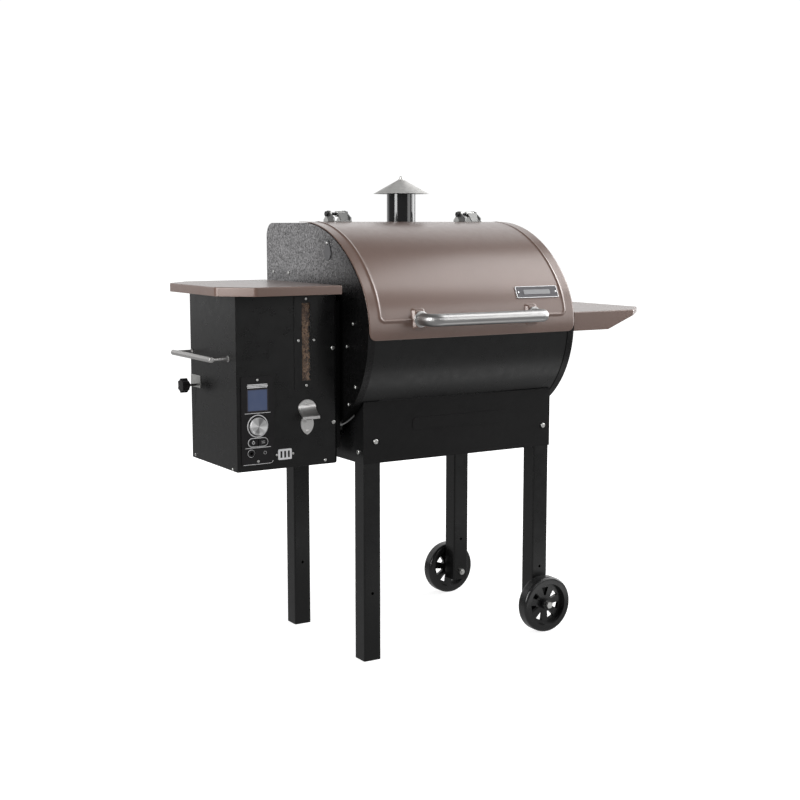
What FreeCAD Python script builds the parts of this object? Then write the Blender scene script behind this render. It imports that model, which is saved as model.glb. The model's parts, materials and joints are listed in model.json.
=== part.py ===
"""Pellet smoker grill on a two-wheeled stand, with a side hopper and a side shelf.

Units are millimetres.  X runs along the barrel from the hopper to the shelf, Y runs from
the lid handle to the back, Z is up and the floor is Z = 0.  The origin is on the floor,
under the middle of the whole grill.
"""
import FreeCAD, Part
import math
import os

Vector = FreeCAD.Vector
X_AXIS = Vector(1, 0, 0)
Y_AXIS = Vector(0, 1, 0)
Z_AXIS = Vector(0, 0, 1)

# ---------------------------------------------------------------- driving dimensions
# Stand
STAND_LEFT = -274.0
STAND_FRONT = -168.0
STAND_WIDTH = 596.0
STAND_DEPTH = 442.0
LEG = 50.0
LEG_WALL = 1.8
LEG_TOP = 687.0
RIGHT_LEG_BOTTOM = 54.0
LEG_HOLE_Z = 180.0
SKIRT_BOTTOM = 524.0
SKIRT_TOP = 687.0
SHEET = 1.5

# Wheels, turning about Y
WHEEL_RADIUS = 78.0
WHEEL_WIDTH = 38.0
WHEEL_GAP = 3.0
AXLE_RADIUS = 5.0
RUNNING_CLEARANCE = 0.06

# Barrel: a D-shaped profile, extruded along X
BARREL_LEFT = STAND_LEFT - 28.0
BARREL_LENGTH = 650.0
BARREL_FRONT = STAND_FRONT - 75.0
BARREL_BACK = STAND_FRONT + 493.0
BARREL_TOP = 1142.0
CROWN_RADIUS = 382.0
BROW_RADIUS = 204.0
BELLY_RADIUS = 268.0
REAR_CORNER_RADIUS = 40.0
CROWN_TURN = math.radians(54.0)
PANEL_INSET = 3.0
SHELL_INSET = 4.6
PANEL_FLANGE = 20.0
LIP_Z = 862.0

# Lid and its two hinges
LID_BOTTOM = 847.0
LID_END_GAP = 2.0
HINGE_Y = STAND_FRONT + 300.0
HINGE_Z = BARREL_TOP + 21.0
HINGE_PLACES = (STAND_LEFT + 90.0, STAND_LEFT + 519.0)
HINGE_HALF_WIDTH = 30.0
PIN_RADIUS = 4.0
HANDLE_RADIUS = 16.0
HANDLE_BEND = 24.0
HANDLE_Y = BARREL_FRONT - 65.0
HANDLE_Z = 897.5
HANDLE_SPREAD = 178.0
PAD_HEIGHT = 10.0
FLANGE_THICKNESS = 3.0

# Chimney
CHIMNEY_X = STAND_LEFT + 360.0
CHIMNEY_Y = STAND_FRONT + 400.0
FLUE_RADIUS = 41.5
FLUE_TOP = 1230.0
CAP_RADIUS = 80.0
CAP_BOTTOM = 1222.0
CAP_APEX = 1264.0

# Hopper
HOPPER_LEFT = STAND_LEFT - 331.0
HOPPER_RIGHT = STAND_LEFT - 47.0
HOPPER_FRONT = STAND_FRONT + 51.0
HOPPER_BACK = STAND_FRONT + 330.0
HOPPER_BOTTOM = 526.0
HOPPER_TOP = 962.0
HOPPER_CORNER = 10.0
BIN_FRONT = HOPPER_FRONT + 20.0
BIN_RIGHT = HOPPER_RIGHT - 35.0
BIN_RIM = 981.0
BIN_KNEE = 800.0
THROAT_Z = 684.0
HOPPER_LID_LEFT = STAND_LEFT - 385.0
HOPPER_LID_RIGHT = STAND_LEFT - 75.0
HOPPER_LID_FRONT = STAND_FRONT - 27.0
HOPPER_LID_BACK = STAND_FRONT + 407.0
HOPPER_LID_TOP = 985.0
HOPPER_LID_DEPTH = 22.0
HOPPER_LID_CHAMFER = 74.0
HOPPER_HINGE_X = HOPPER_LID_RIGHT + 4.5
HOPPER_HINGE_Z = HOPPER_TOP + 6.5

# Fire and feed line: the auger and the fire pot share one centre line
FIRE_X = BARREL_LEFT + BARREL_LENGTH / 2
FIRE_Y = (BARREL_FRONT + BARREL_BACK) / 2
AUGER_Z = 655.0
AUGER_TUBE_RADIUS = 24.0
AUGER_RADIUS = 21.0
AUGER_SHAFT_RADIUS = 6.0
AUGER_PITCH = 38.0
POT_RADIUS = 46.0
POT_BOTTOM = 622.0
POT_TOP = 712.0
SHUTTER_TRAVEL = 42.0

# Cooking surfaces
GRATE_TOP = 902.0
GRATE_FRONT = STAND_FRONT - 38.0
GRATE_BACK = STAND_FRONT + 457.0
RACK_Z = 1007.5
RACK_FRONT = STAND_FRONT + 334.0
RACK_DEPTH = 138.0

# Side shelf
SHELF_REACH = 314.0
SHELF_FRONT = STAND_FRONT - 71.0
SHELF_DEPTH = 489.0
SHELF_TOP = 898.0
SHELF_SKIRT = 52.0
SHELF_LIP = 16.0
SHELF_CHAMFER = 100.0

# Worked-out places
STAND_RIGHT = STAND_LEFT + STAND_WIDTH
STAND_BACK = STAND_FRONT + STAND_DEPTH
BARREL_RIGHT = BARREL_LEFT + BARREL_LENGTH
BARREL_MID = BARREL_LEFT + BARREL_LENGTH / 2
CROWN_Y = BARREL_FRONT + BROW_RADIUS + (CROWN_RADIUS - BROW_RADIUS) * math.sin(CROWN_TURN)
CROWN_Z = BARREL_TOP - CROWN_RADIUS
BROW_Y = BARREL_FRONT + BROW_RADIUS
BROW_Z = CROWN_Z + (CROWN_RADIUS - BROW_RADIUS) * math.cos(CROWN_TURN)
BELLY_FRONT_Y = BARREL_FRONT + BELLY_RADIUS
BELLY_BACK_Y = BARREL_BACK - BELLY_RADIUS
RIGHT_AXLE_X = STAND_RIGHT - LEG / 2

# Probe port and temperature sensor on the left end of the barrel
PORT_Y = STAND_FRONT + 133.5
PORT_PIVOT_Z = 1087.0
SENSOR_Y = STAND_FRONT + 230.0
SENSOR_Z = 955.0

# Hopper front, lift handle and purge gate
WINDOW_X = STAND_LEFT - 138.0
CONTROL_X = STAND_LEFT - 275.5
BADGE_X = STAND_LEFT - 200.0
OPENER_X = STAND_LEFT - 137.0
KNOB_Z = 638.0
KNOB_RADIUS = 23.0
KNOB_HEIGHT = 7.4
BUTTON_Z = 598.5
GUARD_Z = 880.0
LIFT_BAR_X = STAND_LEFT - 380.0
LIFT_BAR_Z = 805.5
LIFT_BAR_FRONT = STAND_FRONT + 84.0
LIFT_BAR_LENGTH = 246.0
LIFT_BAR_RADIUS = 7.0
PURGE_Y = STAND_FRONT + 297.0
PURGE_Z = 731.0
INLET_X = HOPPER_LEFT + 85.0
INLET_Z = 610.0

# Feed line and blower
THROAT_X = HOPPER_LEFT + 170.0
TUBE_START = HOPPER_LEFT + 112.0
POT_WALL_X = FIRE_X - POT_RADIUS
BLOWER_Y = FIRE_Y - 72.0
BLOWER_Z = 610.0


# ---------------------------------------------------------------- shape helpers
def box(x0, x1, y0, y1, z0, z1):
    return Part.makeBox(x1 - x0, y1 - y0, z1 - z0, Vector(x0, y0, z0))


def rod(direction, start, length, radius):
    return Part.makeCylinder(radius, length, start, direction)


def tube(direction, start, length, outer, inner):
    return rod(direction, start, length, outer).cut(rod(direction, start, length, inner))


def polygon_face(points):
    return Part.Face(Part.makePolygon(points + [points[0]]))


def prism_x(points_yz, x0, x1):
    return polygon_face([Vector(x0, y, z) for y, z in points_yz]).extrude(X_AXIS * (x1 - x0))


def prism_y(points_xz, y0, y1):
    return polygon_face([Vector(x, y0, z) for x, z in points_xz]).extrude(Y_AXIS * (y1 - y0))


def prism_z(points_xy, z0, z1):
    return polygon_face([Vector(x, y, z0) for x, y in points_xy]).extrude(Z_AXIS * (z1 - z0))


def fuse(shapes):
    return shapes[0].multiFuse(shapes[1:]).removeSplitter()


def cut(shape, tools):
    for tool in tools:
        shape = shape.cut(tool)
    return shape


def group(shapes):
    return Part.makeCompound(shapes)


def loft(lower, upper):
    """Solid between two rectangles given as (x0, x1, y0, y1, z)."""
    wires = []
    for x0, x1, y0, y1, z in (lower, upper):
        corners = [Vector(x0, y0, z), Vector(x1, y0, z), Vector(x1, y1, z), Vector(x0, y1, z)]
        wires.append(Part.makePolygon(corners + [corners[0]]))
    return Part.makeLoft(wires, True, True)


def button_head(place, direction, radius, height):
    """Low domed screw head standing on a surface."""
    head = rod(direction, place, height, radius)
    tip = place + direction * height
    rims = [e for e in head.Edges if abs((e.CenterOfMass - tip).Length) < 0.01]
    return head.makeFillet(height * 0.7, rims[:1])


def hex_prism(place, direction, radius, height):
    """Hexagonal head or nut along X or Y."""
    points = []
    for step in range(6):
        angle = math.radians(60 * step)
        first = radius * math.cos(angle)
        second = radius * math.sin(angle)
        if abs(direction.x) > 0.5:
            points.append(place + Vector(0, first, second))
        else:
            points.append(place + Vector(first, 0, second))
    return polygon_face(points).extrude(direction * height)


def save(name, shape):
    shape.exportStep("parts/" + name + ".step")
    print(name, len(shape.Solids), "solid(s)", round(shape.Volume / 1000.0, 1), "cm3", shape.isValid())


# ---------------------------------------------------------------- barrel profile
def arc(centre_y, centre_z, radius, start, end):
    points = []
    for angle in (start, (start + end) / 2, end):
        turn = math.radians(angle)
        points.append(Vector(0, centre_y + radius * math.cos(turn), centre_z + radius * math.sin(turn)))
    return Part.Arc(*points).toShape()


def barrel_core(inset, x0, x1):
    """The barrel's D-shaped profile, moved inwards by inset, as a solid from x0 to x1."""
    turn = 90.0 + math.degrees(CROWN_TURN)
    crown = arc(CROWN_Y, CROWN_Z, CROWN_RADIUS - inset, 90.0, turn)
    brow = arc(BROW_Y, BROW_Z, BROW_RADIUS - inset, turn, 180.0)
    belly_front = arc(BELLY_FRONT_Y, BROW_Z, BELLY_RADIUS - inset, 180.0, 270.0)
    belly_back = arc(BELLY_BACK_Y, BROW_Z, BELLY_RADIUS - inset, 270.0, 360.0)
    corner = arc(BARREL_BACK - REAR_CORNER_RADIUS, BARREL_TOP - REAR_CORNER_RADIUS,
                 REAR_CORNER_RADIUS - inset, 0.0, 90.0)
    floor = Part.makeLine(belly_front.Vertexes[-1].Point, belly_back.Vertexes[0].Point)
    back = Part.makeLine(belly_back.Vertexes[-1].Point, corner.Vertexes[0].Point)
    top = Part.makeLine(corner.Vertexes[-1].Point, crown.Vertexes[0].Point)
    wire = Part.Wire([crown, brow, belly_front, floor, belly_back, back, corner, top])
    face = Part.Face(wire)
    face.translate(X_AXIS * x0)
    return face.extrude(X_AXIS * (x1 - x0))


def barrel_ring(outer, inner, x0, x1):
    return barrel_core(outer, x0, x1).cut(barrel_core(inner, x0 - 1, x1 + 1))


# ---------------------------------------------------------------- stand
def leg(x0, y0, bottom):
    """Square tube, closed below and cut to the barrel above, with one spare hole in front."""
    outer = box(x0, x0 + LEG, y0, y0 + LEG, bottom, LEG_TOP)
    inner = box(x0 + LEG_WALL, x0 + LEG - LEG_WALL, y0 + LEG_WALL, y0 + LEG - LEG_WALL,
                bottom + LEG_WALL, LEG_TOP + 1)
    corners = [e for e in outer.Edges if abs(e.Vertexes[0].Z - e.Vertexes[1].Z) > LEG]
    outer = outer.makeFillet(4.0, corners)
    blank = rod(Y_AXIS, Vector(x0 + LEG / 2, y0 - 1, LEG_HOLE_Z), LEG_WALL + 2, 4.0)
    tools = [inner, blank, barrel_core(SHELL_INSET - 0.6, BARREL_LEFT, BARREL_RIGHT)]
    if bottom > 0:
        tools.append(rod(Y_AXIS, Vector(x0 + LEG / 2, y0 - 1, WHEEL_RADIUS), LEG + 2, AXLE_RADIUS + 0.2))
    return cut(outer, tools)


def front_apron():
    """Wide skirt across the front legs, with a shallow raised panel and a folded lower edge."""
    left = STAND_LEFT - SHEET
    right = STAND_RIGHT + SHEET
    sheet = box(left, right, STAND_FRONT - SHEET, STAND_FRONT, SKIRT_BOTTOM, SKIRT_TOP)
    fold = box(STAND_LEFT + LEG + 1, STAND_RIGHT - LEG - 1, STAND_FRONT, STAND_FRONT + 14,
               SKIRT_BOTTOM, SKIRT_BOTTOM + SHEET)
    raised = box(BARREL_MID - 150, BARREL_MID + 150, STAND_FRONT - SHEET - 1.2, STAND_FRONT - SHEET,
                 602, 634)
    corners = [e for e in raised.Edges if abs(e.Vertexes[0].Y - e.Vertexes[1].Y) > 1]
    raised = raised.makeFillet(10.0, corners)
    return fuse([sheet, fold, raised]).cut(barrel_core(PANEL_INSET, BARREL_LEFT, BARREL_RIGHT))


def rear_skirt():
    sheet = box(STAND_LEFT - SHEET, STAND_RIGHT + SHEET, STAND_BACK, STAND_BACK + SHEET,
                SKIRT_BOTTOM, SKIRT_TOP)
    fold = box(STAND_LEFT + LEG + 1, STAND_RIGHT - LEG - 1, STAND_BACK - 14, STAND_BACK,
               SKIRT_BOTTOM, SKIRT_BOTTOM + SHEET)
    return fuse([sheet, fold])


def side_skirt(x0):
    sheet = box(x0, x0 + SHEET, STAND_FRONT, STAND_BACK, SKIRT_BOTTOM, SKIRT_TOP)
    duct = box(x0 - 5, x0 + 5, FIRE_Y - 100, FIRE_Y + 30, 600, SKIRT_TOP + 1)
    return cut(sheet, [barrel_core(PANEL_INSET - 0.5, BARREL_LEFT, BARREL_RIGHT), duct])


def wheel(y0):
    """Moulded wheel: smooth tread with rounded shoulders, dished web with seven windows, and a hub."""
    y1 = y0 + WHEEL_WIDTH
    centre = Vector(RIGHT_AXLE_X, y0, WHEEL_RADIUS)
    tread = rod(Y_AXIS, centre, WHEEL_WIDTH, WHEEL_RADIUS)
    rims = [e for e in tread.Edges if e.Closed]
    tread = tread.makeFillet(8.0, rims)
    web_half = 5.0
    middle = (y0 + y1) / 2
    for start, length in ((y0 - 1, middle - web_half - y0 + 1), (middle + web_half, WHEEL_WIDTH / 2)):
        place = Vector(RIGHT_AXLE_X, start, WHEEL_RADIUS)
        tread = tread.cut(rod(Y_AXIS, place, length, WHEEL_RADIUS - 19))
    hub = rod(Y_AXIS, Vector(RIGHT_AXLE_X, y0 - 1.5, WHEEL_RADIUS), WHEEL_WIDTH + 3, 15.0)
    body = fuse([tread, hub])
    window = prism_y([(RIGHT_AXLE_X - 3, WHEEL_RADIUS + 24), (RIGHT_AXLE_X + 3, WHEEL_RADIUS + 24),
                      (RIGHT_AXLE_X + 11, WHEEL_RADIUS + 47), (RIGHT_AXLE_X - 11, WHEEL_RADIUS + 47)],
                     y0 - 5, y1 + 5)
    for step in range(7):
        turned = window.copy()
        turned.rotate(centre, Y_AXIS, 360.0 / 7 * step)
        body = body.cut(turned)
    bore = rod(Y_AXIS, Vector(RIGHT_AXLE_X, y0 - 5, WHEEL_RADIUS), WHEEL_WIDTH + 10,
               AXLE_RADIUS + RUNNING_CLEARANCE)
    return body.cut(bore)


def axle_bolt(outer_y, inner_y):
    """Bolt from the wheel's outer side through the leg; the nut sits on the leg's far face."""
    side = 1 if inner_y > outer_y else -1
    direction = Y_AXIS * side
    head_start = outer_y - 6.5 * side
    start = Vector(RIGHT_AXLE_X, head_start, WHEEL_RADIUS)
    shank = rod(direction, start, abs(inner_y - head_start) + 13, AXLE_RADIUS)
    head = hex_prism(start, direction, 9.5, 6.0)
    nut_place = Vector(RIGHT_AXLE_X, inner_y, WHEEL_RADIUS)
    nut = hex_prism(nut_place, direction, 9.5, 8.0).cut(shank)
    return [shank.fuse(head), nut]


# ---------------------------------------------------------------- barrel
def barrel_shell():
    """One wrapped sheet: front lip, belly with the ash spout, back wall and flat rear top."""
    x0 = BARREL_LEFT + SHEET
    x1 = BARREL_RIGHT - SHEET
    shell = barrel_ring(SHELL_INSET, SHELL_INSET + SHEET, x0, x1)
    lip = barrel_ring(SHELL_INSET, SHELL_INSET + 10, x0, x1)
    lip = lip.common(box(x0, x1, BARREL_FRONT, BARREL_FRONT + 40, LIP_Z - SHEET, LIP_Z))
    mouth = box(x0 - 1, x1 + 1, BARREL_FRONT - 50, HINGE_Y + 3, LIP_Z, BARREL_TOP + 50)
    flue = rod(Z_AXIS, Vector(CHIMNEY_X, CHIMNEY_Y, BARREL_TOP - 30), 60, FLUE_RADIUS - SHEET)
    ash = rod(Z_AXIS, Vector(FIRE_X, FIRE_Y, 580), 40, 30.0)
    spout = rod(Z_AXIS, Vector(FIRE_X, FIRE_Y, 588), 20, 36.5)
    spout = spout.cut(barrel_core(SHELL_INSET + 0.5, BARREL_LEFT, BARREL_RIGHT))
    spout_bore = rod(Z_AXIS, Vector(FIRE_X, FIRE_Y, 580), 21.2, 35.0)
    pull = rod(Y_AXIS, Vector(FIRE_X, FIRE_Y - 150, POT_BOTTOM - 3.5), 100, 4.4)
    return cut(fuse([shell.cut(mouth), lip, spout]), [flue, ash, spout_bore, pull])


def ledge(x_wall, inward, y0, y1, top):
    """Small angle welded to an end panel, reaching 16 mm inwards."""
    x_tip = x_wall + inward * 16
    x0 = min(x_wall, x_tip)
    x1 = max(x_wall, x_tip)
    return fuse([box(x0, x1, y0, y1, top - SHEET, top),
                 box(min(x_wall, x_wall + inward * SHEET), max(x_wall, x_wall + inward * SHEET),
                     y0, y1, top - 14, top)])


def end_panel(x_outer, inward, tray_top):
    """Flat end plate with a flange turned inwards, and ledges for grates, tray and rack."""
    x_inner = x_outer + inward * SHEET
    x_flange = x_outer + inward * PANEL_FLANGE
    plate = barrel_core(PANEL_INSET, min(x_outer, x_inner), max(x_outer, x_inner))
    flange = barrel_ring(PANEL_INSET, PANEL_INSET + SHEET - 0.05, min(x_outer, x_flange),
                         max(x_outer, x_flange))
    pieces = [plate, flange,
              ledge(x_inner, inward, GRATE_FRONT + 5, GRATE_BACK - 5, GRATE_TOP - 14.1),
              ledge(x_inner, inward, GRATE_FRONT + 30, GRATE_BACK - 30, tray_top),
              ledge(x_inner, inward, RACK_FRONT - 2, RACK_FRONT + RACK_DEPTH, RACK_Z - 2.7)]
    return fuse(pieces)


def left_end_panel():
    panel = end_panel(BARREL_LEFT, 1, 801.5)
    feed = rod(X_AXIS, Vector(BARREL_LEFT - 5, FIRE_Y, AUGER_Z), 40, AUGER_TUBE_RADIUS + 0.3)
    duct = box(BARREL_LEFT - 5, BARREL_LEFT + 10, FIRE_Y - 93, FIRE_Y - 51, 621, 659)
    port = rod(X_AXIS, Vector(BARREL_LEFT - 5, PORT_Y, PORT_PIVOT_Z - 26), 40, 11.0)
    sensor = rod(X_AXIS, Vector(BARREL_LEFT - 5, SENSOR_Y, SENSOR_Z), 40, 3.2)
    return cut(panel, [feed, duct, port, sensor])


def barrel_lid():
    """Curved sheet over the cooking chamber, with side beads and a lower bead."""
    x0 = BARREL_LEFT + LID_END_GAP
    x1 = BARREL_RIGHT - LID_END_GAP
    cover = box(x0 - 1, x1 + 1, BARREL_FRONT - 50, HINGE_Y - 3, LID_BOTTOM, BARREL_TOP + 50)
    sheet = barrel_ring(0.0, SHEET, x0, x1).common(cover)
    upper = box(x0, x1, BARREL_FRONT - 50, HINGE_Y - 45, 898, BARREL_TOP + 50)
    beads = []
    for start in (x0 + 26, x1 - 34):
        beads.append(barrel_ring(-2.0, 0.1, start, start + 8).common(upper))
    low = box(x0, x1, BARREL_FRONT - 50, BARREL_FRONT + 30, 892, 900)
    beads.append(barrel_ring(-2.0, 0.1, x0 + 30, x1 - 30).common(low))
    return fuse([sheet] + beads)


def handle_pad(side):
    """Raised, sloping-sided pad on the lid under one end of the handle."""
    middle = BARREL_MID + side * HANDLE_SPREAD
    wires = []
    for half_width, half_height, y in ((30, 31, BARREL_FRONT + 3.5), (21, 22, BARREL_FRONT - PAD_HEIGHT)):
        corners = [Vector(middle - half_width, y, HANDLE_Z - half_height),
                   Vector(middle + half_width, y, HANDLE_Z - half_height),
                   Vector(middle + half_width, y, HANDLE_Z + half_height),
                   Vector(middle - half_width, y, HANDLE_Z + half_height)]
        wires.append(Part.makePolygon(corners + [corners[0]]))
    return Part.makeLoft(wires, True, True)


def lid_handle():
    """Stainless tube along X whose two ends bend back to the lid."""
    left = BARREL_MID - HANDLE_SPREAD
    right = BARREL_MID + HANDLE_SPREAD
    foot = BARREL_FRONT - PAD_HEIGHT - FLANGE_THICKNESS
    knee = HANDLE_Y + HANDLE_BEND
    reach = HANDLE_BEND * (1 - math.sqrt(0.5))
    corner_left = Part.Arc(Vector(left, knee, HANDLE_Z), Vector(left + reach, HANDLE_Y + reach, HANDLE_Z),
                           Vector(left + HANDLE_BEND, HANDLE_Y, HANDLE_Z)).toShape()
    corner_right = Part.Arc(Vector(right - HANDLE_BEND, HANDLE_Y, HANDLE_Z),
                            Vector(right - reach, HANDLE_Y + reach, HANDLE_Z),
                            Vector(right, knee, HANDLE_Z)).toShape()
    path = Part.Wire([
        Part.makeLine(Vector(left, foot, HANDLE_Z), Vector(left, knee, HANDLE_Z)),
        corner_left,
        Part.makeLine(Vector(left + HANDLE_BEND, HANDLE_Y, HANDLE_Z),
                      Vector(right - HANDLE_BEND, HANDLE_Y, HANDLE_Z)),
        corner_right,
        Part.makeLine(Vector(right, knee, HANDLE_Z), Vector(right, foot, HANDLE_Z))])
    solids = []
    for radius in (HANDLE_RADIUS, HANDLE_RADIUS - SHEET):
        ring = Part.Wire([Part.makeCircle(radius, Vector(left, foot, HANDLE_Z), Y_AXIS)])
        solids.append(path.makePipeShell([ring], True, False))
    return solids[0].cut(solids[1])


def handle_flanges():
    """Round flange under each end of the handle, with a spigot inside the tube."""
    pieces = []
    for side in (-1, 1):
        foot = Vector(BARREL_MID + side * HANDLE_SPREAD, BARREL_FRONT - PAD_HEIGHT, HANDLE_Z)
        flange = rod(-Y_AXIS, foot, FLANGE_THICKNESS, 20.5)
        flange = flange.makeFillet(1.2, [e for e in flange.Edges if e.Closed
                                         and e.CenterOfMass.y < foot.y - 2])
        spigot = rod(-Y_AXIS, foot, 17.0, HANDLE_RADIUS - SHEET)
        pieces.append(fuse([flange, spigot]))
    return group(pieces)


def nameplate():
    """Blank plate that follows the lid's curve near its right end, and its two rivets."""
    x0 = STAND_LEFT + 436
    middle_z = 954.5
    zone = box(x0, x0 + 140, BARREL_FRONT - 30, BARREL_FRONT + 80, middle_z - 17.5, middle_z + 17.5)
    plate = barrel_ring(-1.6, 0.0, x0, x0 + 140).common(zone)
    rise = (middle_z - BROW_Z) / (BROW_RADIUS + 1.6)
    outward = Vector(0, -math.sqrt(1 - rise * rise), rise)
    surface = Vector(0, BROW_Y, BROW_Z) + outward * (BROW_RADIUS + 1.6)
    rivets = [button_head(surface + X_AXIS * x, outward, 4.0, 2.0) for x in (x0 + 8, x0 + 132)]
    return group([plate] + [rivet.cut(plate) for rivet in rivets])


# ---------------------------------------------------------------- lid hinges
def hinge_ear(x0, x1, foot_near, foot_far, foot_z, hole):
    """Plate across the hinge line: a foot on the sheet and a rounded eye about the pin."""
    lean = 1 if foot_far > foot_near else -1
    plate = prism_x([(foot_near, foot_z), (foot_far, foot_z), (foot_far, foot_z + 9),
                     (HINGE_Y + lean * 5, HINGE_Z + 7.4), (HINGE_Y - lean * 4, HINGE_Z - 8.0)], x0, x1)
    eye = rod(X_AXIS, Vector(x0, HINGE_Y, HINGE_Z), x1 - x0, 9.0)
    bore = rod(X_AXIS, Vector(x0 - 1, HINGE_Y, HINGE_Z), x1 - x0 + 2, hole)
    return fuse([plate, eye]).cut(bore)


def hinge_lid_leaf(middle):
    """Lid half of a hinge: a foot, two ears and a sloping web in front of the pin."""
    foot = box(middle - 28, middle + 28, HINGE_Y - 38, HINGE_Y - 6, BARREL_TOP, BARREL_TOP + 2.5)
    web = prism_x([(HINGE_Y - 36, BARREL_TOP + 1), (HINGE_Y - 32, BARREL_TOP + 1),
                   (HINGE_Y - 12, HINGE_Z + 2), (HINGE_Y - 14, HINGE_Z + 4.4)], middle - 4, middle + 26)
    ears = [web]
    for x0 in (middle - 28, middle + 24):
        ears.append(hinge_ear(x0, x0 + 4, HINGE_Y - 8, HINGE_Y - 36, BARREL_TOP + 1,
                              PIN_RADIUS + RUNNING_CLEARANCE))
    return fuse([foot] + ears)


def hinge_barrel_leaf(middle):
    """Barrel half of a hinge: a foot, two ears and the knuckle that holds the pin."""
    top = BARREL_TOP - SHELL_INSET
    foot = box(middle - 22, middle + 22, HINGE_Y + 6, HINGE_Y + 34, top, top + 2.5)
    ears = []
    for x0 in (middle - 22.5, middle + 18.5):
        ears.append(hinge_ear(x0, x0 + 4, HINGE_Y + 8, HINGE_Y + 32, top + 1, PIN_RADIUS))
    knuckle = rod(X_AXIS, Vector(middle - 2, HINGE_Y, HINGE_Z), 20.5, 8.0)
    bore = rod(X_AXIS, Vector(middle - 3, HINGE_Y, HINGE_Z), 24, PIN_RADIUS)
    return fuse([foot, knuckle.cut(bore)] + ears)


def hinge_pin(middle):
    start = Vector(middle - HINGE_HALF_WIDTH - 3, HINGE_Y, HINGE_Z)
    shank = rod(X_AXIS, start, 2 * HINGE_HALF_WIDTH + 6, PIN_RADIUS)
    head = hex_prism(start, X_AXIS, 8.0, 4.6)
    nut = hex_prism(Vector(middle + HINGE_HALF_WIDTH - 1.6, HINGE_Y, HINGE_Z), X_AXIS, 8.0, 4.6)
    return fuse([shank, head, nut])


# ---------------------------------------------------------------- chimney
def chimney_flue():
    """Pipe on a square base, with a bar across its top that carries the cap's stud."""
    base_z = BARREL_TOP - SHELL_INSET
    base = box(CHIMNEY_X - 58, CHIMNEY_X + 58, CHIMNEY_Y - 58, CHIMNEY_Y + 58, base_z, base_z + 2)
    centre = Vector(CHIMNEY_X, CHIMNEY_Y, base_z)
    pipe = rod(Z_AXIS, centre, FLUE_TOP - base_z, FLUE_RADIUS)
    bore = rod(Z_AXIS, centre - Z_AXIS * 5, FLUE_TOP, FLUE_RADIUS - SHEET)
    bar = box(CHIMNEY_X - FLUE_RADIUS + 0.5, CHIMNEY_X + FLUE_RADIUS - 0.5, CHIMNEY_Y - 8,
              CHIMNEY_Y + 8, FLUE_TOP - 14, FLUE_TOP - 11)
    stud = rod(Z_AXIS, Vector(CHIMNEY_X, CHIMNEY_Y, FLUE_TOP - 14), CAP_APEX - FLUE_TOP - 2, PIN_RADIUS)
    return fuse([fuse([base, pipe]).cut(bore), bar, stud])


def chimney_cap():
    """Sheet cone that screws up and down on the stud through a threaded collar."""
    centre = Vector(CHIMNEY_X, CHIMNEY_Y, CAP_BOTTOM)
    height = CAP_APEX - CAP_BOTTOM
    outer = Part.makeCone(CAP_RADIUS, 5.0, height, centre)
    inner = Part.makeCone(CAP_RADIUS - 2.4, 2.6, height - 1.2, centre - Z_AXIS * 0.3)
    collar = rod(Z_AXIS, centre + Z_AXIS * 2, height - 2, 8.0)
    knob = rod(Z_AXIS, centre + Z_AXIS * (height - 2), 10.0, 5.0)
    knob = knob.makeFillet(3.5, [e for e in knob.Edges if e.Closed and e.CenterOfMass.z > CAP_APEX + 7])
    bore = rod(Z_AXIS, centre - Z_AXIS * 1, height - 2, PIN_RADIUS + RUNNING_CLEARANCE)
    return fuse([outer.cut(inner), collar, knob]).cut(bore)


# ---------------------------------------------------------------- end-panel details
def probe_port_cover():
    """Drop-shaped flap that hangs from one rivet over the probe port."""
    x0 = BARREL_LEFT - 2.0
    disc = rod(X_AXIS, Vector(x0, PORT_Y, PORT_PIVOT_Z - 26), 1.5, 18.0)
    eye = rod(X_AXIS, Vector(x0, PORT_Y, PORT_PIVOT_Z), 1.5, 8.0)
    neck = prism_x([(PORT_Y - 16.5, PORT_PIVOT_Z - 18.8), (PORT_Y + 16.5, PORT_PIVOT_Z - 18.8),
                    (PORT_Y + 7.3, PORT_PIVOT_Z + 3.2), (PORT_Y - 7.3, PORT_PIVOT_Z + 3.2)],
                   x0, x0 + 1.5)
    pivot = rod(X_AXIS, Vector(x0 - 1, PORT_Y, PORT_PIVOT_Z), 5, 2.5 + RUNNING_CLEARANCE)
    return fuse([disc, eye, neck]).cut(pivot)


def port_rivet():
    shank = rod(X_AXIS, Vector(BARREL_LEFT - 2.8, PORT_Y, PORT_PIVOT_Z), 2.8, 2.5)
    head = button_head(Vector(BARREL_LEFT - 2.8, PORT_Y, PORT_PIVOT_Z), -X_AXIS, 4.5, 2.0)
    return fuse([shank, head])


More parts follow.
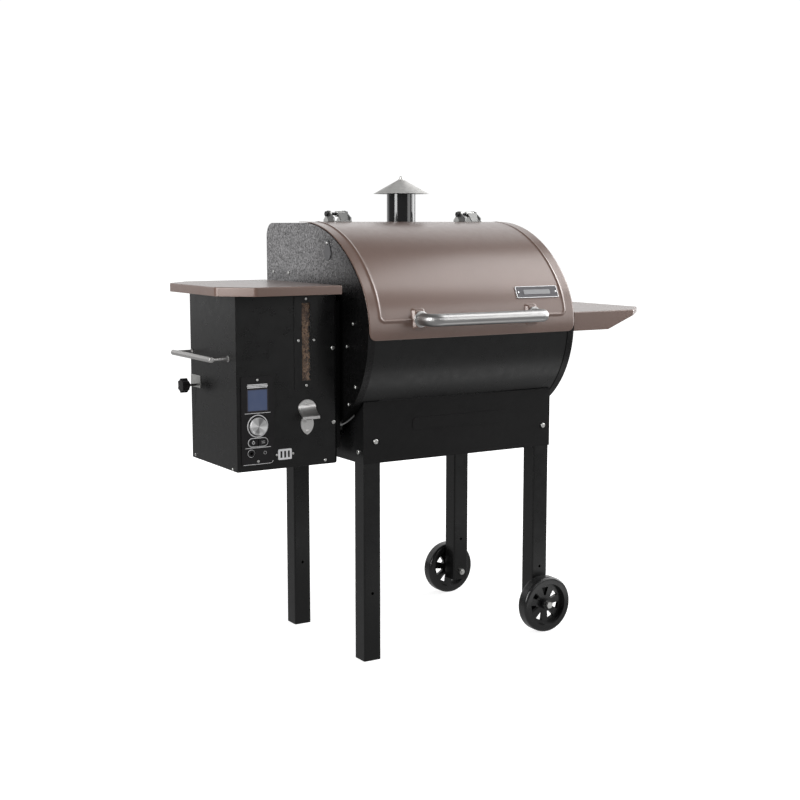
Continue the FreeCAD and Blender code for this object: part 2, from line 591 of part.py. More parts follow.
def panel_fasteners():
    """Screw heads on the barrel ends, skirts, hopper, controller, badge and shelf."""
    heads = [port_rivet()]
    heads.append(button_head(Vector(BARREL_LEFT, STAND_FRONT + 4, 886), -X_AXIS, 4.5, 3.0))
    for y, z in ((447.0, 1004.0), (357.0, 1004.0), (-7.0, 726.0), (28.0, 678.0), (36.0, 826.0)):
        heads.append(button_head(Vector(BARREL_LEFT, STAND_FRONT + y, z), -X_AXIS, 4.5, 3.0))
        heads.append(button_head(Vector(BARREL_RIGHT, STAND_FRONT + y, z), X_AXIS, 4.5, 3.0))
    for x in (STAND_LEFT + 34, STAND_RIGHT - 22):
        heads.append(button_head(Vector(x, STAND_FRONT - SHEET, 581), -Y_AXIS, 7.0, 4.0))
        heads.append(button_head(Vector(x, STAND_BACK + SHEET, 581), Y_AXIS, 7.0, 4.0))
    for y in (STAND_FRONT + 25, STAND_BACK - 25):
        heads.append(button_head(Vector(STAND_LEFT - SHEET, y, 553), -X_AXIS, 6.0, 3.5))
        heads.append(button_head(Vector(STAND_RIGHT + SHEET, y, 553), X_AXIS, 6.0, 3.5))
    for x, z, radius in ((-61.0, 823.0, 5.5), (-60.0, 633.0, 5.5), (-85.0, 536.5, 4.0)):
        heads.append(button_head(Vector(STAND_LEFT + x, HOPPER_FRONT, z), -Y_AXIS, radius, 3.0))
        heads.append(button_head(Vector(STAND_LEFT + x, HOPPER_BACK, z), Y_AXIS, radius, 3.0))
    for y, z in ((308.0, 535.0), (77.0, 531.0)):
        heads.append(button_head(Vector(HOPPER_LEFT, STAND_FRONT + y, z), -X_AXIS, 4.0, 2.5))
    for x, z in ((0.0, 950.0), (-22.0, 846.0), (22.0, 846.0), (0.0, 732.0)):
        heads.append(button_head(Vector(WINDOW_X + x, HOPPER_FRONT - 2, z), -Y_AXIS, 3.5, 2.0))
    for z in (754.0, 550.5):
        heads.append(button_head(Vector(CONTROL_X, HOPPER_FRONT - 3, z), -Y_AXIS, 3.2, 1.8))
    for side in (-1, 1):
        heads.append(button_head(Vector(BADGE_X + side * 23, HOPPER_FRONT, 561.5), -Y_AXIS, 3.0, 1.8))
    for y in (60.0, 430.0):
        place = Vector(BARREL_RIGHT + SHEET, SHELF_FRONT + y, SHELF_TOP - 26)
        heads.append(hex_prism(place, X_AXIS, 8.0, 5.0))
    return group(heads)


def temperature_probe():
    shaft = rod(X_AXIS, Vector(BARREL_LEFT - 10, SENSOR_Y, SENSOR_Z), 82, 2.5)
    nut = hex_prism(Vector(BARREL_LEFT + SHEET, SENSOR_Y, SENSOR_Z), X_AXIS, 8.0, 5.0)
    return fuse([shaft, nut])


# ---------------------------------------------------------------- hopper
def right_edges(block, x):
    """The two upright edges and the bottom edge of a block's face at x."""
    low = block.BoundBox.ZMin
    return [e for e in block.Edges if abs(e.CenterOfMass.x - x) < 0.01
            and (abs(e.Vertexes[0].Z - e.Vertexes[1].Z) > 100 or e.CenterOfMass.z < low + 0.01)]


def hopper_shell():
    """Cabinet: front, back, floor and barrel-side walls, and the frame that meets the barrel."""
    outer = box(HOPPER_LEFT + SHEET, HOPPER_RIGHT, HOPPER_FRONT, HOPPER_BACK, HOPPER_BOTTOM, HOPPER_TOP)
    outer = outer.makeFillet(HOPPER_CORNER, right_edges(outer, HOPPER_RIGHT))
    inner = box(HOPPER_LEFT - 1, HOPPER_RIGHT - SHEET, HOPPER_FRONT + SHEET, HOPPER_BACK - SHEET,
                HOPPER_BOTTOM + SHEET, HOPPER_TOP + 1)
    inner = inner.makeFillet(HOPPER_CORNER - SHEET, right_edges(inner, HOPPER_RIGHT - SHEET))
    rim = box(HOPPER_RIGHT - 1, BARREL_LEFT, HOPPER_FRONT + 22, HOPPER_BACK - 22, 560, 940)
    rim = rim.cut(box(HOPPER_RIGHT - 2, BARREL_LEFT + 1, HOPPER_FRONT + 24, HOPPER_BACK - 24, 562, 938))
    shell = fuse([outer.cut(inner), rim])
    window = box(WINDOW_X - 15, WINDOW_X + 15, HOPPER_FRONT - 1, HOPPER_FRONT + 3, 740, 944)
    control = box(CONTROL_X - 38, CONTROL_X + 38, HOPPER_FRONT - 1, HOPPER_FRONT + 3, 557, 747)
    feed = rod(X_AXIS, Vector(HOPPER_RIGHT - 5, FIRE_Y, AUGER_Z), 20, AUGER_TUBE_RADIUS + 0.3)
    duct = box(HOPPER_RIGHT - 5, HOPPER_RIGHT + 5, FIRE_Y - 93, FIRE_Y - 51, 621, 659)
    inlet = box(INLET_X - 23, INLET_X + 23, HOPPER_BACK - 3, HOPPER_BACK + 1, INLET_Z - 15, INLET_Z + 15)
    vents = []
    for step in range(6):
        x0 = HOPPER_LEFT + 150 + 14 * step
        vents.append(box(x0, x0 + 5, HOPPER_BACK - 3, HOPPER_BACK + 1, 580, 640))
    return cut(shell, [window, control, feed, duct, inlet] + vents)


def hopper_side_panel():
    panel = box(HOPPER_LEFT, HOPPER_LEFT + SHEET, HOPPER_FRONT, HOPPER_BACK, HOPPER_BOTTOM, HOPPER_TOP)
    slot = box(HOPPER_LEFT - 1, HOPPER_LEFT + 3, PURGE_Y - 28, PURGE_Y + 28, PURGE_Z - 1.5, PURGE_Z + 1.5)
    stud = rod(X_AXIS, Vector(HOPPER_LEFT - 1, PURGE_Y, PURGE_Z - 10), 5, 3.6)
    return cut(panel, [slot, stud])


def hopper_bin():
    """Pellet bin: straight walls above, a funnel to the auger below, and a purge chute."""
    left = HOPPER_LEFT + 4
    back = HOPPER_BACK - 4
    wall = 1.0
    upper = box(left, BIN_RIGHT, BIN_FRONT, back, BIN_KNEE, BIN_RIM)
    upper_void = box(left + wall, BIN_RIGHT - wall, BIN_FRONT + wall, back - wall, BIN_KNEE - 1, BIN_RIM + 1)
    throat = (THROAT_X - 38, THROAT_X + 38, FIRE_Y - 20, FIRE_Y + 20, THROAT_Z)
    funnel = loft(throat, (left, BIN_RIGHT, BIN_FRONT, back, BIN_KNEE))
    throat_void = (THROAT_X - 36, THROAT_X + 36, FIRE_Y - 18, FIRE_Y + 18, THROAT_Z - 0.5)
    funnel_void = loft(throat_void, (left + wall, BIN_RIGHT - wall, BIN_FRONT + wall, back - wall,
                                     BIN_KNEE + 0.5))
    chute = box(HOPPER_LEFT + 40, HOPPER_LEFT + 95, PURGE_Y - 24, PURGE_Y + 24, PURGE_Z + 2, BIN_KNEE - 8)
    chute_void = box(HOPPER_LEFT + 41, HOPPER_LEFT + 94, PURGE_Y - 23, PURGE_Y + 23, PURGE_Z + 1,
                     BIN_KNEE - 8.5)
    solid = fuse([upper, funnel, chute])
    return cut(solid, [upper_void, funnel_void, chute_void])


def hopper_guard():
    """Finger guard inside the bin: rods welded across two cross rods where they touch."""
    x0 = HOPPER_LEFT + 6
    x1 = BIN_RIGHT - 2
    y0 = BIN_FRONT + 2
    y1 = HOPPER_BACK - 6
    rods = [rod(X_AXIS, Vector(x0, y, GUARD_Z - 4.5), x1 - x0, 2.5) for y in (y0 + 20, y1 - 20)]
    count = 8
    for step in range(count):
        x = x0 + 12 + (x1 - x0 - 24) * step / (count - 1)
        rods.append(rod(Y_AXIS, Vector(x, y0, GUARD_Z), y1 - y0, 2.0))
    return group(rods)


def chamfered(left, right, front, back, chamfer, on_left):
    """Plan outline with its two outer corners cut at 45 degrees."""
    if on_left:
        return [(right, front), (left + chamfer, front), (left, front + chamfer),
                (left, back - chamfer), (left + chamfer, back), (right, back)]
    return [(left, front), (right - chamfer, front), (right, front + chamfer),
            (right, back - chamfer), (right - chamfer, back), (left, back)]


def hopper_lid():
    """Shallow tray turned upside down, with rolled knuckles along its barrel side."""
    inset = SHEET * math.tan(math.radians(22.5))
    outline = chamfered(HOPPER_LID_LEFT, HOPPER_LID_RIGHT, HOPPER_LID_FRONT, HOPPER_LID_BACK,
                        HOPPER_LID_CHAMFER, True)
    inner = chamfered(HOPPER_LID_LEFT + SHEET, HOPPER_LID_RIGHT - SHEET, HOPPER_LID_FRONT + SHEET,
                      HOPPER_LID_BACK - SHEET, HOPPER_LID_CHAMFER - SHEET + inset, True)
    bottom = HOPPER_LID_TOP - HOPPER_LID_DEPTH
    tray = prism_z(outline, bottom, HOPPER_LID_TOP)
    tray = tray.cut(prism_z(inner, bottom - 1, HOPPER_LID_TOP - SHEET))
    knuckles = []
    for y0 in (-60.6, 39.4):
        eye = rod(Y_AXIS, Vector(HOPPER_HINGE_X, FIRE_Y + y0 - 18, HOPPER_HINGE_Z), 39.2, 4.0)
        web = box(HOPPER_LID_RIGHT - 1, HOPPER_HINGE_X, FIRE_Y + y0 - 18, FIRE_Y + y0 + 21.2,
                  HOPPER_HINGE_Z, HOPPER_HINGE_Z + 4)
        knuckles.append(fuse([eye, web]))
    bore = rod(Y_AXIS, Vector(HOPPER_HINGE_X, HOPPER_LID_FRONT, HOPPER_HINGE_Z), 500,
               2.5 + RUNNING_CLEARANCE)
    return fuse([tray] + knuckles).cut(bore)


def hopper_top_strip():
    """Fixed strip between the lid and the barrel, with the fixed hinge knuckles."""
    strip = box(HOPPER_HINGE_X + 1, BARREL_LEFT - 1, HOPPER_FRONT, HOPPER_BACK, HOPPER_TOP, HOPPER_TOP + SHEET)
    pieces = [strip]
    for y0 in (-119.0, -38.8, 61.2):
        eye = rod(Y_AXIS, Vector(HOPPER_HINGE_X, FIRE_Y + y0, HOPPER_HINGE_Z), 39.6, 4.0)
        web = box(HOPPER_HINGE_X, HOPPER_HINGE_X + 4, FIRE_Y + y0, FIRE_Y + y0 + 39.6,
                  HOPPER_TOP, HOPPER_HINGE_Z)
        pieces.append(fuse([eye, web]))
    bore = rod(Y_AXIS, Vector(HOPPER_HINGE_X, HOPPER_LID_FRONT, HOPPER_HINGE_Z), 500, 2.5)
    return fuse(pieces).cut(bore)


def hopper_hinge_pin():
    return rod(Y_AXIS, Vector(HOPPER_HINGE_X, FIRE_Y - 120, HOPPER_HINGE_Z), 222, 2.5)


def window_frame():
    plate = box(WINDOW_X - 33, WINDOW_X + 33, HOPPER_FRONT - 2, HOPPER_FRONT, 721, 958)
    slot = box(WINDOW_X - 11.5, WINDOW_X + 11.5, HOPPER_FRONT - 3, HOPPER_FRONT + 1, 744, 940)
    return plate.cut(slot)


def window_pane():
    return box(WINDOW_X - 14.5, WINDOW_X + 14.5, HOPPER_FRONT, HOPPER_FRONT + 3, 741, 943)


def wood_pellets():
    """Pellets held in the narrow sight pocket behind the window."""
    return box(WINDOW_X - 14, WINDOW_X + 14, HOPPER_FRONT + 3.5, HOPPER_FRONT + 17, 742, 940)


def controller_panel():
    """Face plate with an electronics case behind it."""
    face = box(CONTROL_X - 44, CONTROL_X + 44, HOPPER_FRONT - 3, HOPPER_FRONT, 541.5, 762.5)
    corners = [e for e in face.Edges if abs(e.Vertexes[0].Y - e.Vertexes[1].Y) > 1]
    face = face.makeFillet(5.0, corners)
    case = box(CONTROL_X - 37, CONTROL_X + 37, HOPPER_FRONT - 1, HOPPER_FRONT + 36, 558, 746)
    jack = tube(-Y_AXIS, Vector(CONTROL_X - 19, HOPPER_FRONT - 3, 571.5), 2.5, 8.5, 4.0)
    body = fuse([face, case, jack])
    screen = box(CONTROL_X - 27, CONTROL_X + 27, HOPPER_FRONT - 4, HOPPER_FRONT - 1, 677, 730)
    shaft = rod(Y_AXIS, Vector(CONTROL_X, HOPPER_FRONT - 4, KNOB_Z), 12, 3.0 + RUNNING_CLEARANCE)
    pockets = []
    for side in (-1, 1):
        x = CONTROL_X + side * 13.5
        pockets.append(box(x - 12.4, x + 12.4, HOPPER_FRONT - 4, HOPPER_FRONT + 6, BUTTON_Z - 9.4,
                           BUTTON_Z + 9.4))
    small = rod(Y_AXIS, Vector(CONTROL_X + 19, HOPPER_FRONT - 4, 571), 8, 2.5)
    socket = rod(Y_AXIS, Vector(CONTROL_X - 19, HOPPER_FRONT - 6, 571.5), 14, 4.0)
    return cut(body, [screen, shaft, small, socket] + pockets)


def lcd_display():
    return box(CONTROL_X - 26.5, CONTROL_X + 26.5, HOPPER_FRONT - 2.6, HOPPER_FRONT - 1, 677.5, 729.5)


def control_knob():
    """Low turned metal dial on a round shaft."""
    face = HOPPER_FRONT - 3
    grip = rod(-Y_AXIS, Vector(CONTROL_X, face - 0.6, KNOB_Z), KNOB_HEIGHT, KNOB_RADIUS)
    tip = [e for e in grip.Edges if e.Closed and e.CenterOfMass.y < face - KNOB_HEIGHT]
    grip = grip.makeFillet(1.2, tip)
    shaft = rod(Y_AXIS, Vector(CONTROL_X, face - 5, KNOB_Z), 14, 3.0)
    return fuse([grip, shaft])


def button(side):
    x = CONTROL_X + side * 13.5
    cap = box(x - 12, x + 12, HOPPER_FRONT - 5, HOPPER_FRONT + 2, BUTTON_Z - 9, BUTTON_Z + 9)
    corners = [e for e in cap.Edges if abs(e.Vertexes[0].Y - e.Vertexes[1].Y) > 1
               and (e.CenterOfMass.x - x) * side > 0]
    return cap.makeFillet(8.0, corners)


def badge_plate():
    plate = box(BADGE_X - 19, BADGE_X + 19, HOPPER_FRONT - 1.2, HOPPER_FRONT, 548, 575)
    corners = [e for e in plate.Edges if abs(e.Vertexes[0].Y - e.Vertexes[1].Y) > 1]
    return plate.makeFillet(5.0, corners)


def bottle_opener():
    """Cast wall-mounted opener: domed upper plate, wide sloping hood and a leaf-shaped lower plate."""
    x = OPENER_X
    y0 = HOPPER_FRONT - 3
    dome = rod(Y_AXIS, Vector(x, y0, 669), 3, 27.0).common(box(x - 25, x + 25, y0, y0 + 3, 672, 697))
    taper = prism_y([(x - 25, 672), (x - 12, 648), (x + 12, 648), (x + 25, 672)], y0, y0 + 3)
    leaf = rod(Y_AXIS, Vector(x + 12, y0, 634), 3, 30.0).common(rod(Y_AXIS, Vector(x - 12, y0, 634), 3, 30.0))
    leaf = leaf.common(box(x - 30, x + 30, y0, y0 + 3, 600, 652))
    hood = prism_x([(y0, 676), (y0 - 9, 664), (y0 - 24, 656), (y0 - 24, 649), (y0 - 20.5, 649),
                    (y0 - 20.5, 653.6), (y0 - 6.5, 661), (y0, 669)], x - 24, x + 24)
    rims = [e for e in hood.Edges if abs(e.Vertexes[0].X - e.Vertexes[-1].X) < 0.01
            and e.CenterOfMass.y < y0 - 23.9]
    hood = hood.makeFillet(1.2, rims) if rims else hood
    tooth = prism_x([(y0, 651), (y0 - 9, 645), (y0 - 9, 641), (y0, 642)], x - 9, x + 9)
    screws = [button_head(Vector(x, y0, z), -Y_AXIS, 4.0, 2.2) for z in (686, 616)]
    return fuse([dome, taper, leaf, hood, tooth] + screws)


def hopper_handle():
    """Stainless lifting handle: a bar along Y on two arms, each with a small foot."""
    bar = rod(Y_AXIS, Vector(LIFT_BAR_X, LIFT_BAR_FRONT, LIFT_BAR_Z), LIFT_BAR_LENGTH, LIFT_BAR_RADIUS)
    pieces = [bar.makeFillet(2.0, [e for e in bar.Edges if e.Closed])]
    for y in (LIFT_BAR_FRONT + 10, LIFT_BAR_FRONT + LIFT_BAR_LENGTH - 10):
        foot = Vector(HOPPER_LEFT, y, LIFT_BAR_Z)
        pieces.append(rod(-X_AXIS, foot, HOPPER_LEFT - LIFT_BAR_X, LIFT_BAR_RADIUS - 1.5))
        pieces.append(rod(-X_AXIS, foot, 2.5, LIFT_BAR_RADIUS + 1))
    return fuse(pieces)


def purge_gate():
    """Slide plate under the purge chute, with a folded tab outside the hopper."""
    plate = box(HOPPER_LEFT - 2.0, HOPPER_LEFT + 102, PURGE_Y - 26, PURGE_Y + 26, PURGE_Z - 1, PURGE_Z + 1)
    tab = box(HOPPER_LEFT - 2.5, HOPPER_LEFT - 0.5, PURGE_Y - 30, PURGE_Y + 30, PURGE_Z - 16, PURGE_Z + 16)
    hole = rod(X_AXIS, Vector(HOPPER_LEFT - 5, PURGE_Y, PURGE_Z - 10), 8, 3.0 + RUNNING_CLEARANCE)
    return fuse([plate, tab]).cut(hole)


def purge_knob():
    """Six-lobed clamping knob on a threaded stud."""
    x0 = STAND_LEFT - 375
    centre = Vector(x0, PURGE_Y, PURGE_Z - 10)
    grip = rod(X_AXIS, centre, 18, 15.5)
    lobes = []
    for step in range(6):
        angle = math.radians(60 * step + 30)
        place = centre + Vector(0, 13.5 * math.cos(angle), 13.5 * math.sin(angle))
        lobes.append(rod(X_AXIS, place, 18, 5.2))
    neck = rod(X_AXIS, centre, 24, 8.0)
    stud = rod(X_AXIS, centre, HOPPER_LEFT - x0 + 1.2, 3.0)
    return fuse([grip, neck, stud] + lobes)


# ---------------------------------------------------------------- feed, air and fire
def auger_tube():
    pipe = tube(X_AXIS, Vector(TUBE_START, FIRE_Y, AUGER_Z), POT_WALL_X - 0.5 - TUBE_START,
                AUGER_TUBE_RADIUS, AUGER_TUBE_RADIUS - 1.5)
    mouth = box(THROAT_X - 36, THROAT_X + 36, FIRE_Y - 18, FIRE_Y + 18, AUGER_Z + 8, THROAT_Z + 10)
    cap = rod(X_AXIS, Vector(TUBE_START - 2, FIRE_Y, AUGER_Z), 2, AUGER_TUBE_RADIUS)
    bore = rod(X_AXIS, Vector(TUBE_START - 3, FIRE_Y, AUGER_Z), 4, AUGER_SHAFT_RADIUS + RUNNING_CLEARANCE)
    return fuse([pipe, cap]).cut(mouth).cut(bore)


def auger_screw():
    """Shaft with one helical flight."""
    x0 = TUBE_START + 4
    flight_length = POT_WALL_X - 4 - x0
    shaft = rod(X_AXIS, Vector(TUBE_START - 24, FIRE_Y, AUGER_Z), POT_WALL_X - 2 - TUBE_START + 24,
                AUGER_SHAFT_RADIUS)
    helix = Part.makeHelix(AUGER_PITCH, flight_length, AUGER_SHAFT_RADIUS - 0.5)
    inner = AUGER_SHAFT_RADIUS - 0.5
    section = Part.makePolygon([Vector(inner, 0, -1.2), Vector(AUGER_RADIUS, 0, -1.2),
                                Vector(AUGER_RADIUS, 0, 1.2), Vector(inner, 0, 1.2), Vector(inner, 0, -1.2)])
    flight = Part.Wire(helix).makePipeShell([section], True, True)
    flight.rotate(Vector(0, 0, 0), Y_AXIS, 90)
    flight.translate(Vector(x0, FIRE_Y, AUGER_Z))
    return fuse([shaft, flight])


def auger_motor():
    """Gearbox on the tube's end cap, with the motor behind it."""
    x1 = TUBE_START - 4
    gearbox = box(x1 - 46, x1, FIRE_Y - 32, FIRE_Y + 32, AUGER_Z - 30, AUGER_Z + 28)
    motor = rod(-X_AXIS, Vector(x1 - 46, FIRE_Y, AUGER_Z - 2), 40, 26.0)
    bore = rod(-X_AXIS, Vector(x1 + 1, FIRE_Y, AUGER_Z), 22, AUGER_SHAFT_RADIUS + RUNNING_CLEARANCE)
    lug = box(x1, x1 + 2, FIRE_Y - 30, FIRE_Y + 30, AUGER_Z - 28, AUGER_Z - 25)
    return fuse([gearbox, motor, lug]).cut(bore)


def blower_housing():
    """Round fan case with its motor, and the air duct that runs to the fire pot."""
    x0 = HOPPER_RIGHT - 78
    place = Vector(x0, BLOWER_Y, BLOWER_Z)
    case = rod(X_AXIS, place, 46, 46.0)
    void = rod(X_AXIS, place + X_AXIS * 1.5, 43, 44.5)
    duct = box(x0 + 40, POT_WALL_X - 4, BLOWER_Y - 20, BLOWER_Y + 20, 622, 658)
    duct_void = box(x0 + 38, POT_WALL_X - 5, BLOWER_Y - 18.5, BLOWER_Y + 18.5, 623.5, 656.5)
    motor = rod(-X_AXIS, place, 30, 22.0)
    bore = rod(-X_AXIS, place + X_AXIS * 3, 20, 3.0 + RUNNING_CLEARANCE)
    outlet = box(POT_WALL_X - 30, POT_WALL_X - 3, BLOWER_Y + 18, BLOWER_Y + 21, 628, 652)
    return cut(fuse([case, duct, motor]), [void, duct_void, bore, outlet])


def blower_impeller():
    """Back plate, hub and twelve straight blades on a short shaft."""
    x0 = HOPPER_RIGHT - 78 + 5
    centre = Vector(x0, BLOWER_Y, BLOWER_Z)
    pieces = [rod(X_AXIS, centre, 2, 38.0), rod(X_AXIS, centre, 18, 9.0),
              rod(-X_AXIS, centre + X_AXIS, 18, 3.0)]
    blade = box(x0, x0 + 26, BLOWER_Y - 1, BLOWER_Y + 1, BLOWER_Z + 26, BLOWER_Z + 38)
    for step in range(12):
        turned = blade.copy()
        turned.rotate(centre, X_AXIS, 30 * step)
        pieces.append(turned)
    return fuse(pieces)


def fire_pot():
    """Cast burn cup with air holes, a feed opening and a drop hole in its floor."""
    centre = Vector(FIRE_X, FIRE_Y, POT_BOTTOM)
    height = POT_TOP - POT_BOTTOM
    cup = rod(Z_AXIS, centre, height, POT_RADIUS)
    rim = rod(Z_AXIS, centre + Z_AXIS * (height - 3), 3, POT_RADIUS + 10)
    void = rod(Z_AXIS, centre + Z_AXIS * 3, height, POT_RADIUS - 2.5)
    drop = rod(Z_AXIS, centre - Z_AXIS, 6, 20.0)
    feed = rod(-X_AXIS, centre + Z_AXIS * (AUGER_Z - POT_BOTTOM), POT_RADIUS + 5, AUGER_TUBE_RADIUS - 1.5)
    spark = rod(X_AXIS, centre + Z_AXIS * 20, POT_RADIUS + 5, 5.2)
    feet = []
    for x in (FIRE_X - 36, FIRE_X + 36):
        for y in (FIRE_Y - 42, FIRE_Y + 42):
            feet.append(box(x - 6, x + 6, y - 3, y + 3, POT_BOTTOM - 24, POT_TOP - 2))
    body = cut(fuse([cup, rim] + feet), [void, drop, feed, spark])
    floor = barrel_core(SHELL_INSET + SHEET, FIRE_X - 100, FIRE_X + 100)
    body = body.common(floor)
    for row in range(2):
        for step in range(12):
            angle = math.radians(30 * step + 15)
            reach = Vector(math.cos(angle), math.sin(angle), 0)
            place = centre + Z_AXIS * (58 + 14 * row) + reach * 30
            body = body.cut(rod(reach, place, 40, 3.0))
    return body


def ash_shutter():
    """Slide plate under the pot, with a pull rod and knob below the belly."""
    z0 = POT_BOTTOM - 4.5
    plate = box(FIRE_X - 28, FIRE_X + 28, FIRE_Y - 30, FIRE_Y + 78, z0, z0 + 2)
    hole = rod(Z_AXIS, Vector(FIRE_X, FIRE_Y + SHUTTER_TRAVEL, z0 - 1), 4, 20.0)
    pull = rod(-Y_AXIS, Vector(FIRE_X, FIRE_Y - 28, z0 + 1), 124, 3.4)
    knob = rod(-Y_AXIS, Vector(FIRE_X, FIRE_Y - 150, z0 + 1), 12, 12.0)
    knob = knob.makeFillet(3.0, [e for e in knob.Edges if e.Closed])
    return fuse([plate.cut(hole), pull, knob])


def ash_cup():
    """Round cup that hangs under the barrel's ash hole and drops away for emptying."""
    centre = Vector(FIRE_X, FIRE_Y, 541)
    cup = tube(Z_AXIS, centre, 58, 40.0, 38.5)
    base = rod(Z_AXIS, centre, 1.5, 40.0)
    return fuse([cup, base])


def igniter_rod():
    return rod(X_AXIS, Vector(FIRE_X + POT_RADIUS - 8, FIRE_Y, POT_BOTTOM + 20), 90, 4.8)


def heat_deflector():
    """Bent plate over the fire pot, standing on its two folded sides."""
    x0 = FIRE_X - 160
    x1 = FIRE_X + 160
    top = box(x0, x1, FIRE_Y - 102, FIRE_Y + 102, 744, 746)
    sides = [box(x0, x1, FIRE_Y - 102, FIRE_Y - 100, 600, 746),
             box(x0, x1, FIRE_Y + 100, FIRE_Y + 102, 600, 746)]
    keep = barrel_core(SHELL_INSET + SHEET, x0 - 1, x1 + 1)
    vents = []
    for side in (-1, 1):
        y = FIRE_Y + side * 101
        vents.append(box(x0 + 40, x1 - 40, y - 5, y + 5, 600, 700))
    return cut(fuse([top] + sides).common(keep), vents)


def grease_tray():
    """Shallow tray that slopes down to the right and overhangs the heat deflector."""
    x0 = BARREL_LEFT + 4
    x1 = BARREL_RIGHT - 4
    y0 = GRATE_FRONT + 20.0
    y1 = GRATE_BACK - 20.0
    left_z = 802.2
    drop = 25.0
    tray = box(x0, x1, y0, y1, left_z, left_z + 14).cut(
        box(x0 + 1.5, x1 - 1.5, y0 + 1.5, y1 - 1.5, left_z + 1.5, left_z + 15))
    tray.rotate(Vector(x0, 0, left_z), Y_AXIS, math.degrees(math.atan2(drop, x1 - x0)))
    return tray


def cooking_grate(x0, x1):
    """Round bars along Y welded across three cross bars where they touch."""
    z_bar = GRATE_TOP - 3
    bars = []
    count = 16
    for step in range(count):
        x = x0 + 4 + (x1 - x0 - 8) * step / (count - 1)
        bars.append(rod(Y_AXIS, Vector(x, GRATE_FRONT, z_bar), GRATE_BACK - GRATE_FRONT, 3.0))
    for y in (GRATE_FRONT + 12, FIRE_Y, GRATE_BACK - 12):
        bars.append(rod(X_AXIS, Vector(x0, y, z_bar - 7.0), x1 - x0, 4.0))
    return bars


def warming_rack():
    """Upper rack: bars along X welded across three cross bars where they touch."""
    x0 = BARREL_LEFT + 5
    x1 = BARREL_RIGHT - 5
    bars = []
    for step in range(8):
        bars.append(rod(X_AXIS, Vector(x0, RACK_FRONT + 4 + 18.5 * step, RACK_Z), x1 - x0, 2.6))
    for x in (x0 + 20, BARREL_MID, x1 - 20):
        bars.append(rod(Y_AXIS, Vector(x, RACK_FRONT, RACK_Z - 5.2), RACK_DEPTH, 2.6))
    return group(bars)


def power_inlet():
    """Three-pole mains inlet with a flange on the hopper's back wall."""
    flange = box(INLET_X - 26, INLET_X + 26, HOPPER_BACK, HOPPER_BACK + 2.5, INLET_Z - 17, INLET_Z + 17)
    body = box(INLET_X - 21, INLET_X + 21, HOPPER_BACK - 22, HOPPER_BACK + 1, INLET_Z - 13, INLET_Z + 13)
    void = box(INLET_X - 12, INLET_X + 12, HOPPER_BACK - 16, HOPPER_BACK + 3, INLET_Z - 8, INLET_Z + 8)
    pins = [box(INLET_X + x - 1, INLET_X + x + 1, HOPPER_BACK - 17, HOPPER_BACK - 2, INLET_Z + z - 2,
                INLET_Z + z + 2) for x, z in ((-7, -1), (0, 3), (7, -1))]
    return fuse([fuse([flange, body]).cut(void)] + pins)


# ---------------------------------------------------------------- side shelf
def side_shelf():
    """Folded shelf with chamfered outer corners and skirts that taper towards the end."""
    left = BARREL_RIGHT
    right = left + SHELF_REACH
    back = SHELF_FRONT + SHELF_DEPTH
    bottom = SHELF_TOP - SHELF_SKIRT
    inset = SHEET * math.tan(math.radians(22.5))
    outline = chamfered(left, right, SHELF_FRONT, back, SHELF_CHAMFER, False)
    inner = chamfered(left + SHEET, right - SHEET, SHELF_FRONT + SHEET, back - SHEET,
                      SHELF_CHAMFER - SHEET + inset, False)
    shelf = prism_z(outline, bottom, SHELF_TOP).cut(prism_z(inner, bottom - 1, SHELF_TOP - SHEET))
    taper = prism_y([(left + 123, bottom - 1), (right - SHELF_CHAMFER, SHELF_TOP - SHELF_LIP),
                     (right + 5, SHELF_TOP - SHELF_LIP), (right + 5, bottom - 1)],
                    SHELF_FRONT - 5, back + 5)
    return shelf.cut(taper)


